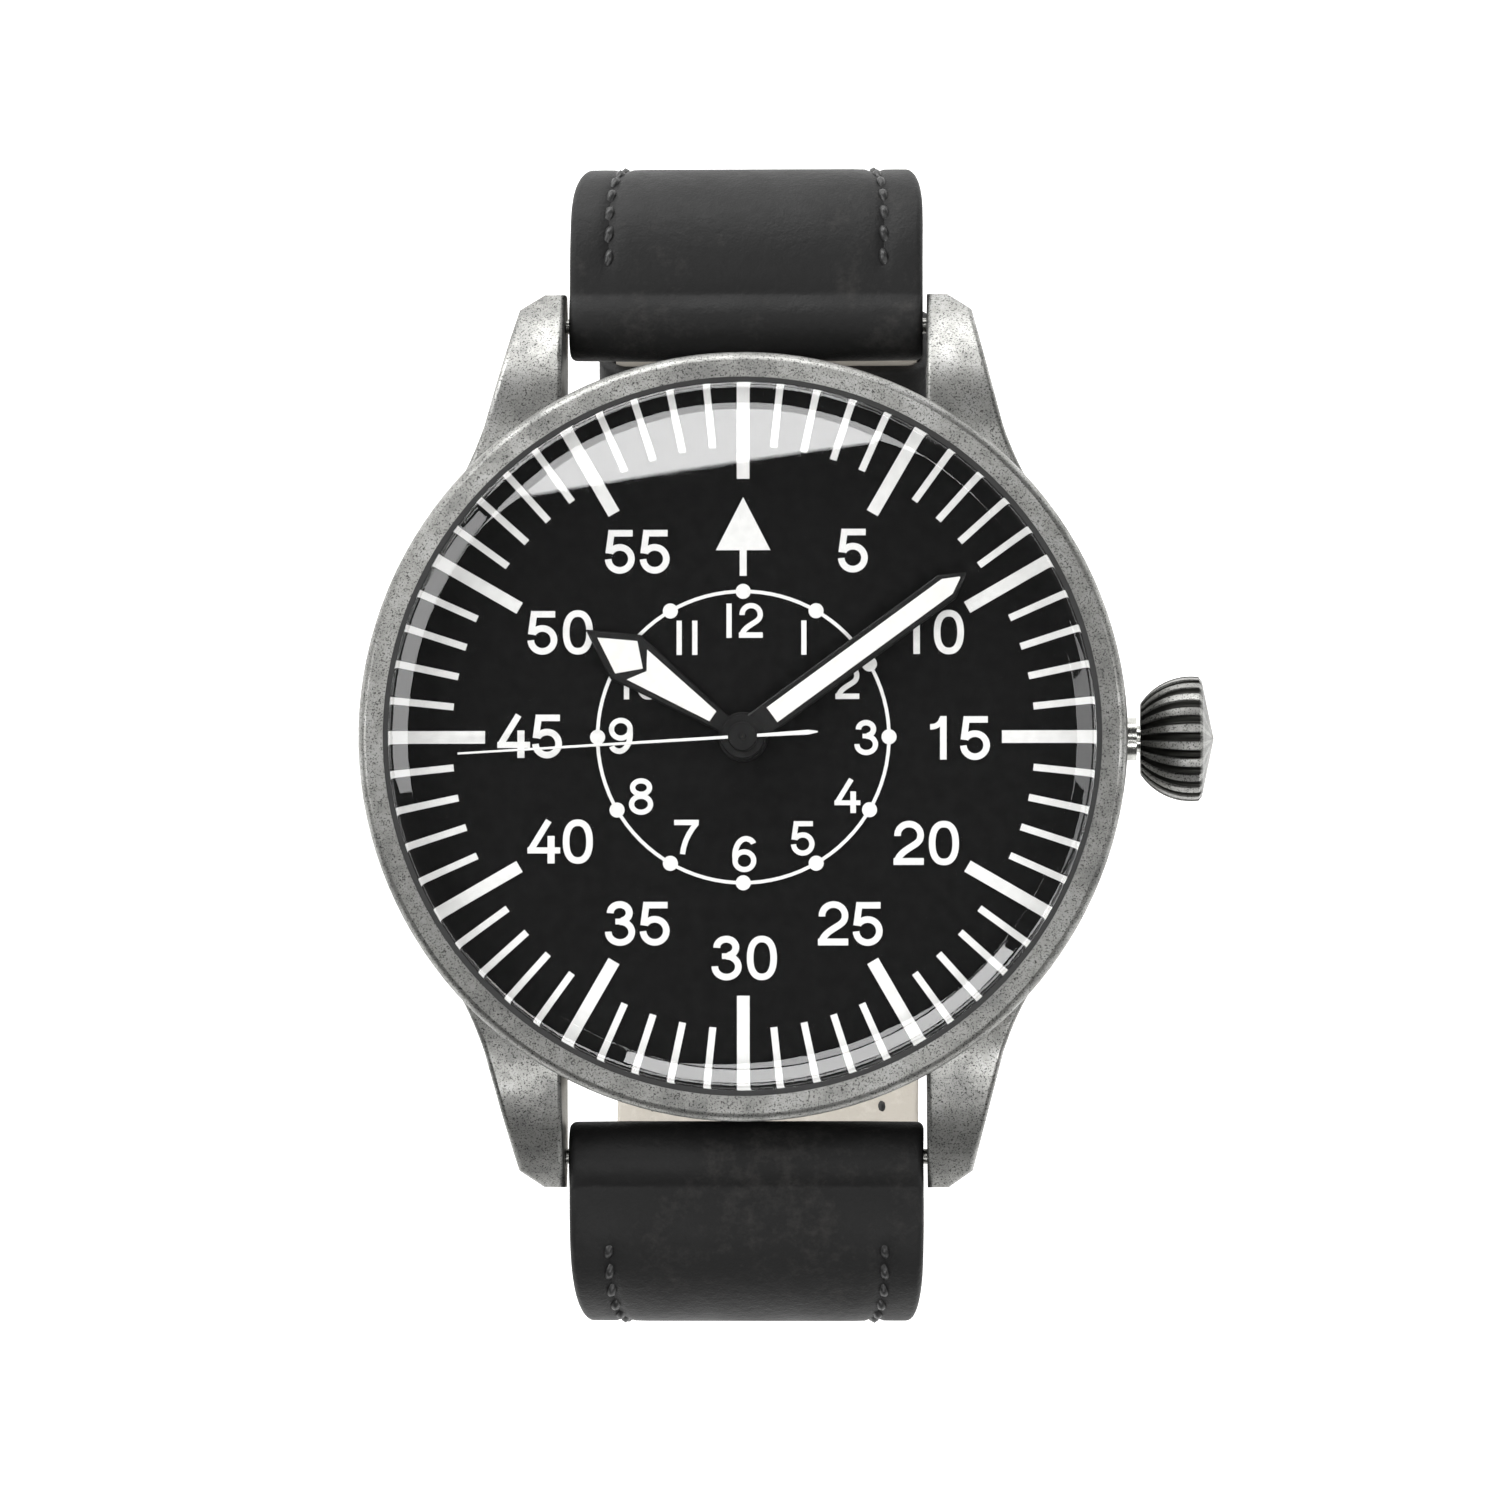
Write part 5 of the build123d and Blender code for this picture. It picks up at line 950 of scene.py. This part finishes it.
def bar_wrap(side):
    """Leather round a spring bar, in side view: the outer curve is the roll's circle, and towards
    the strap its height is the smooth greater of the circle's and the flat face's, as the eighth
    root of their eighth powers; the inner one leaves the bore's circle for the strap's seam."""
    seam_gap, bore_from, blend = 0.04, 84, 46
    a = np.radians(np.concatenate([
        np.linspace(0, -90, 24)[:-1], np.linspace(-90, -270, 34)[:-1], np.linspace(-270, -360, 24),
    ]))
    circle = np.column_stack([np.cos(a), np.sin(a)])
    y, z = ROLL_RADIUS * circle.T
    level = (np.abs(z) ** 8 + OUTER_FACE**8) ** (1 / 8)
    z = np.where(y > 0, np.where(np.arange(len(a)) < len(a) / 2, -1, 1) * level, z)
    outer = np.column_stack([y, z])
    openness = np.abs(np.degrees(np.arctan2(np.sin(a), np.cos(a))))
    w = smooth((bore_from - openness) / blend)[:, None]
    seam = np.column_stack([y, np.where(z > 0, SEAM, SEAM - seam_gap)])
    inner = (1 - w) * ROLL_BORE * circle + w * seam
    inner = inner * np.maximum(1, ROLL_BORE / np.linalg.norm(inner, axis=1)[:, None])
    outer = np.vstack([(BAR_RUN, -OUTER_FACE), outer])
    inner = np.vstack([(BAR_RUN, SEAM - seam_gap), inner])
    move, flip = np.array([BAR_Y, BAR_Z]), np.array([side, 1.0])
    return (outer + move) * flip, (inner + move) * flip


def buckle_wrap():
    """Leather round the buckle's bar, from the underside band over the top and down to the
    lining: a circle that ends on the lining's inner face, and a bore that closes to the seam."""
    seam_level, seam_end, skin, bore_from, blend = -0.44, 0.86, 0.25, 72, 52
    a = np.radians(np.concatenate([[-90], np.linspace(-96, -270, 40), np.linspace(-275, -343, 22)]))
    circle = np.column_stack([np.cos(a), np.sin(a)])
    outer = BUCKLE_ROLL * circle
    openness = np.degrees(np.arctan2(np.sin(a), np.cos(a)))
    w = np.where(openness > 0, smooth((bore_from - openness) / blend), 0)[:, None]
    seam = np.column_stack([np.maximum(outer[:, 0] - skin, seam_end), np.full(len(a), seam_level)])
    inner = (1 - w) * BUCKLE_BORE * circle + w * seam
    inner = inner * np.maximum(1, BUCKLE_BORE / np.linalg.norm(inner, axis=1)[:, None])
    inner[0] = (0.0, -BUCKLE_BORE)
    move = np.array([BUCKLE_Y, BUCKLE_Z])
    return outer + move, inner + move


class OBJECT_OT_watch_strap(bpy.types.Operator):
    """Make both halves of the leather strap, their linings, holes and stitching"""
    bl_idname = "object.watch_strap"
    bl_label = "Strap"

    def execute(self, context):
        settings = context.scene.watch_leather
        base, scuff = (*settings.leather, 1.0), (*settings.scuff, 1.0)
        leather = waxed_leather("Calf_leather_waxed", base, scuff, 0.42, 0.56)
        # Lining: undyed split calf, finely napped: pale, warm and dull, with soft clouds
        lining = waxed_leather("Calf_lining_napped", paint("#c4beb4"), paint("#d3cec5"), 0.35, 0.75)
        # Waxed linen thread, twisted: dark, with a dull gloss
        thread = plain_solid("Linen_thread_waxed", "#242424", "#121212", 0.12, 0.4, 0.5, 0.03)
        edge, pitch = settings.edge / MM, settings.stitch_pitch / MM
        start = BAR_Y + BAR_RUN

        run, facing = buckle_half_run(start, BUCKLE_Y)
        wrap_out, wrap_in = bar_wrap(1)
        end_out, end_in = buckle_wrap()
        seen = np.vstack([wrap_out, (run + facing * OUTER_FACE)[:-1], end_out])
        hidden = np.vstack([wrap_in, (run + facing * SEAM)[:-1], end_in])
        # The groove starts just past the roll
        sunk = smooth((distance_along(run) - 0.6) / 0.8)[:-1]
        groove = [np.zeros(len(wrap_out)), GROOVE_DEEP * sunk, np.zeros(len(end_out))]
        groove = np.concatenate(groove)
        strip = leather_strip(seen, hidden, half_width(seen[:, 1]), edge, groove)
        upper = make_piece("strap_leather_12", [strip], leather, "head")
        slot_reach = BUCKLE_ROLL + SLOT_ROOM
        ring_slot = box_cutter(
            (-SLOT_HALF, BUCKLE_Y - slot_reach, BUCKLE_Z - SLOT_REACH),
            (SLOT_HALF, BUCKLE_Y + slot_reach, BUCKLE_Z + SLOT_REACH),
        )
        cut_openings(upper, [ring_slot])
        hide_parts("strap_buckle_half")
        # Stitches run from roll to roll, and less far on the lining
        length = distance_along(run)[-1]
        stitches_12 = stitch_shells(run, facing, OUTER_FACE, 1.75, length - 1.0, pitch)
        stitches_12 += stitch_shells(run, facing, INNER_FACE, 1.2, length - 12.0, pitch)

        run, facing = buckle_half_run(start, BUCKLE_Y + 2.0)
        seen, hidden = run + facing * INNER_FACE, run + facing * (SEAM - SEAM_PLAY)
        groove = np.full(len(run), LINING_GROOVE)
        width = half_width(seen[:, 1])
        strip = leather_strip(seen, hidden, width, LINING_EDGE, groove, (True, True))
        upper_lining = make_piece("strap_lining_12", [strip], lining, "head")
        cut_openings(upper_lining, [ring_slot])
        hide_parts("strap_buckle_lining")

        run, facing = hole_half_run(start)
        walked = distance_along(run)
        left = walked[-1] - walked
        width = half_width(run[:, 1]) - drawn_in(TAIL_ROUND, left)
        wrap_out, wrap_in = bar_wrap(-1)
        seen = np.vstack([wrap_out, run + facing * OUTER_FACE])
        hidden = np.vstack([wrap_in, run + facing * SEAM])
        # The groove starts past the roll and ends short of the tail
        sunk = smooth((walked - 2.2) / 0.8) * smooth((left - 9) / 2)
        groove = GROOVE_DEEP * np.concatenate([np.zeros(len(wrap_out)), sunk])
        widths = np.concatenate([half_width(wrap_out[:, 1]), width])
        strip = leather_strip(seen, hidden, widths, edge, groove, (False, True))
        lower = make_piece("strap_leather_6", [strip], leather, "head")
        # A slot where the tongue passes through, then round holes before and behind it
        holes = [box_cutter((-SLOT_HALF, -10.2, -50), (SLOT_HALF, -4.3, -30))]
        for step in (1, 2, 3):
            ahead = step * HOLE_SPACING - HOLE_SHIFT
            if ahead > ARC_Y:
                degrees = 270 + math.degrees((ahead - ARC_Y) / TAIL_RADIUS)
                holes.append(hole_on_arc(1, TAIL_RADIUS, degrees))
            else:
                holes.append(round_cutter(np.array([ahead, TAIL_Z]), 90))
            behind = step * HOLE_SPACING + HOLE_SHIFT
            degrees = 270 - math.degrees((behind - ARC_Y) / ARC_RADIUS)
            holes.append(hole_on_arc(-1, ARC_RADIUS, degrees))
        cut_openings(lower, holes)
        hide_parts("strap_hole_half")
        stitches_6 = stitch_shells(run, facing, OUTER_FACE, 3.3, walked[-1] - 8.0, pitch)
        stitches_6 += stitch_shells(run, facing, INNER_FACE, 2.6, walked[-1] - 12.0, pitch)

        seen, hidden = run + facing * INNER_FACE, run + facing * (SEAM - SEAM_PLAY)
        groove = LINING_GROOVE * (left > 12)
        strip = leather_strip(seen, hidden, width, LINING_EDGE, groove, (True, True))
        lower_lining = make_piece("strap_lining_6", [strip], lining, "head")
        cut_openings(lower_lining, holes)
        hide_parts("strap_hole_lining")

        seam_12 = make_piece("strap_thread_12", stitches_12, thread, "head", sharp=60)
        seam_6 = make_piece("strap_thread_6", stitches_6, thread, "head", sharp=60)
        return {"FINISHED"}


class OBJECT_OT_watch_keepers(bpy.types.Operator):
    """Make the fixed and the free leather keeper"""
    bl_idname = "object.watch_keepers"
    bl_label = "Keepers"

    def execute(self, context):
        leather = bpy.data.materials["Calf_leather_waxed"]
        fixed_y, free_turn = 6.6, math.radians(270 + 33.0)

        def straight(x, z, along):
            return np.stack([x, fixed_y + along, z], axis=-1)

        def round_the_arc(x, z, along):
            turn = free_turn + along / TAIL_RADIUS
            return np.stack([x, ARC_Y - z * np.cos(turn), ARC_Z - z * np.sin(turn)], axis=-1)

        shell = keeper_shell(-42.55, -37.4, 0.9, straight)
        fixed = make_piece("keeper_fixed", [shell], leather, "head")
        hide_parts("fixed_keeper")
        shell = keeper_shell(-21.97, -16.58, 0.78, round_the_arc)
        free = make_piece("keeper_free", [shell], leather, "free_keeper")
        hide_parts("free_keeper")
        return {"FINISHED"}


class OBJECT_OT_watch_stage(bpy.types.Operator):
    """Set the floor, the lamps and the camera"""
    bl_idname = "object.watch_stage"
    bl_label = "Studio"

    def execute(self, context):
        settings = context.scene.watch_stage
        scene = context.scene
        scene.view_settings.view_transform = "Standard"
        reach = 1.6
        corners = ((-reach, -reach), (reach, -reach), (reach, reach), (-reach, reach))
        floor_mesh = bpy.data.meshes.new("floor")
        floor_mesh.from_pydata([(x, y, FLOOR_Z * MM) for x, y in corners], [], [(0, 1, 2, 3)])
        floor_mesh.materials.append(floor_paper(settings.floor_glow))
        floor = bpy.data.objects.new("floor", floor_mesh)
        scene.collection.objects.link(floor)

        # Soft panels: brightness, place, width and depth in metres, and turns from facing down
        sides, wall, above = settings.sides, settings.wall, 0.56
        panels = {
            "skylight": (settings.skylight, (-0.045, 0.1635, above), (0.42, 0.065), (0, 0, 8.5)),
            "window": (settings.window, (-0.15, 0.57, 0.165), (0.7, 0.2), (-74, 0, 14.5)),
            "side_left": (sides, (-0.42, 0.12, 0.36), (0.3, 0.32), (0, -49, 0)),
            "side_right": (sides * 0.6, (0.44, 0.0, 0.34), (0.3, 0.3), (0, 53, 0)),
            "near_wall": (wall * 0.7, (0.027, -0.123, above), (0.34, 0.024), (0, 0, 14.0)),
            "far_wall": (wall, (0.094, -0.378, above), (0.54, 0.12), (0, 0, 14.0)),
        }
        for name, (brightness, place, (wide, deep), turns) in panels.items():
            light = bpy.data.lights.new(name, "AREA")
            light.shape, light.size, light.size_y = "RECTANGLE", wide, deep
            light.energy = brightness * math.pi * wide * deep
            holder = bpy.data.objects.new(name, light)
            holder.location = place
            holder.rotation_euler = [math.radians(angle) for angle in turns]
            scene.collection.objects.link(holder)

        world = bpy.data.worlds.new("studio")
        world.use_nodes = True
        add = partial(add_node, world.node_tree)
        height_seen = add("SeparateXYZ", "Z", {"Vector": add("TexCoord", "Generated", {})})
        tones = [(0.0, paint("#7d7d7d")), (0.4, paint("#555555")), (0.88, paint("#1c1c1c"))]
        sky = add("ValToRGB", "Color", {"Fac": height_seen}, tones)
        set_inputs(world.node_tree.nodes["Background"], {"Color": sky})
        scene.world = world

        # Focal length and frame in pixels of the photograph, the point looked at, and the tilts
        focal_length, frame_width = 8196.0, 1500
        target = Vector((0.31, -0.65, 6.0)) * MM
        tilt_x, tilt_y, roll = (math.radians(angle) for angle in (1.86, 1.9, -0.02))
        camera_data = bpy.data.cameras.new("camera")
        camera_data.lens = focal_length / frame_width * camera_data.sensor_width
        camera_data.clip_start, camera_data.clip_end = 0.01, 10
        camera = bpy.data.objects.new("camera", camera_data)
        back = Vector((math.sin(tilt_x), -math.sin(tilt_y), 0))
        back.z = math.sqrt(1 - back.x**2 - back.y**2)
        camera.location = target + back * settings.camera_distance
        right = (-back).cross(Vector((0, 1, 0))).normalized()
        up = right.cross(-back)
        level = Matrix((right, up, back)).transposed()
        camera.rotation_euler = (level @ Matrix.Rotation(roll, 3, "Z")).to_euler()
        scene.collection.objects.link(camera)
        scene.camera = camera
        return {"FINISHED"}


class VIEW3D_PT_pilot_watch(bpy.types.Panel):
    """Panel with the watch's steps in the order in which they run"""
    bl_label = "Pilot Watch"
    bl_idname = "VIEW3D_PT_pilot_watch"
    bl_space_type = "VIEW_3D"
    bl_region_type = "UI"
    bl_category = "Pilot Watch"

    def draw(self, context):
        column = self.layout.column()
        for step in STEPS:
            column.operator(step.bl_idname)


STEPS = (
    OBJECT_OT_watch_metal,
    OBJECT_OT_watch_movement,
    OBJECT_OT_watch_dial,
    OBJECT_OT_watch_hands,
    OBJECT_OT_watch_crystal,
    OBJECT_OT_watch_strap,
    OBJECT_OT_watch_keepers,
    OBJECT_OT_watch_stage,
)
GROUPS = {
    "watch_dial": WatchDialSettings,
    "watch_leather": WatchLeatherSettings,
    "watch_metal": WatchMetalSettings,
    "watch_stage": WatchStageSettings,
}


def register():
    """Registers the settings, the steps and the panel."""
    for name, group in GROUPS.items():
        bpy.utils.register_class(group)
        setattr(bpy.types.Scene, name, PointerProperty(type=group))
    for kind in (*STEPS, VIEW3D_PT_pilot_watch):
        bpy.utils.register_class(kind)


def unregister():
    """Takes away what register added, in reverse."""
    for kind in (VIEW3D_PT_pilot_watch, *reversed(STEPS)):
        bpy.utils.unregister_class(kind)
    for name, group in reversed(GROUPS.items()):
        delattr(bpy.types.Scene, name)
        bpy.utils.unregister_class(group)


def main():
    """Runs every step in order."""
    register()
    for step in STEPS:
        group, call = step.bl_idname.split(".")
        if getattr(getattr(bpy.ops, group), call)() != {"FINISHED"}:
            raise RuntimeError(f"{step.bl_label} did not finish")


if __name__ == "__main__":
    main()
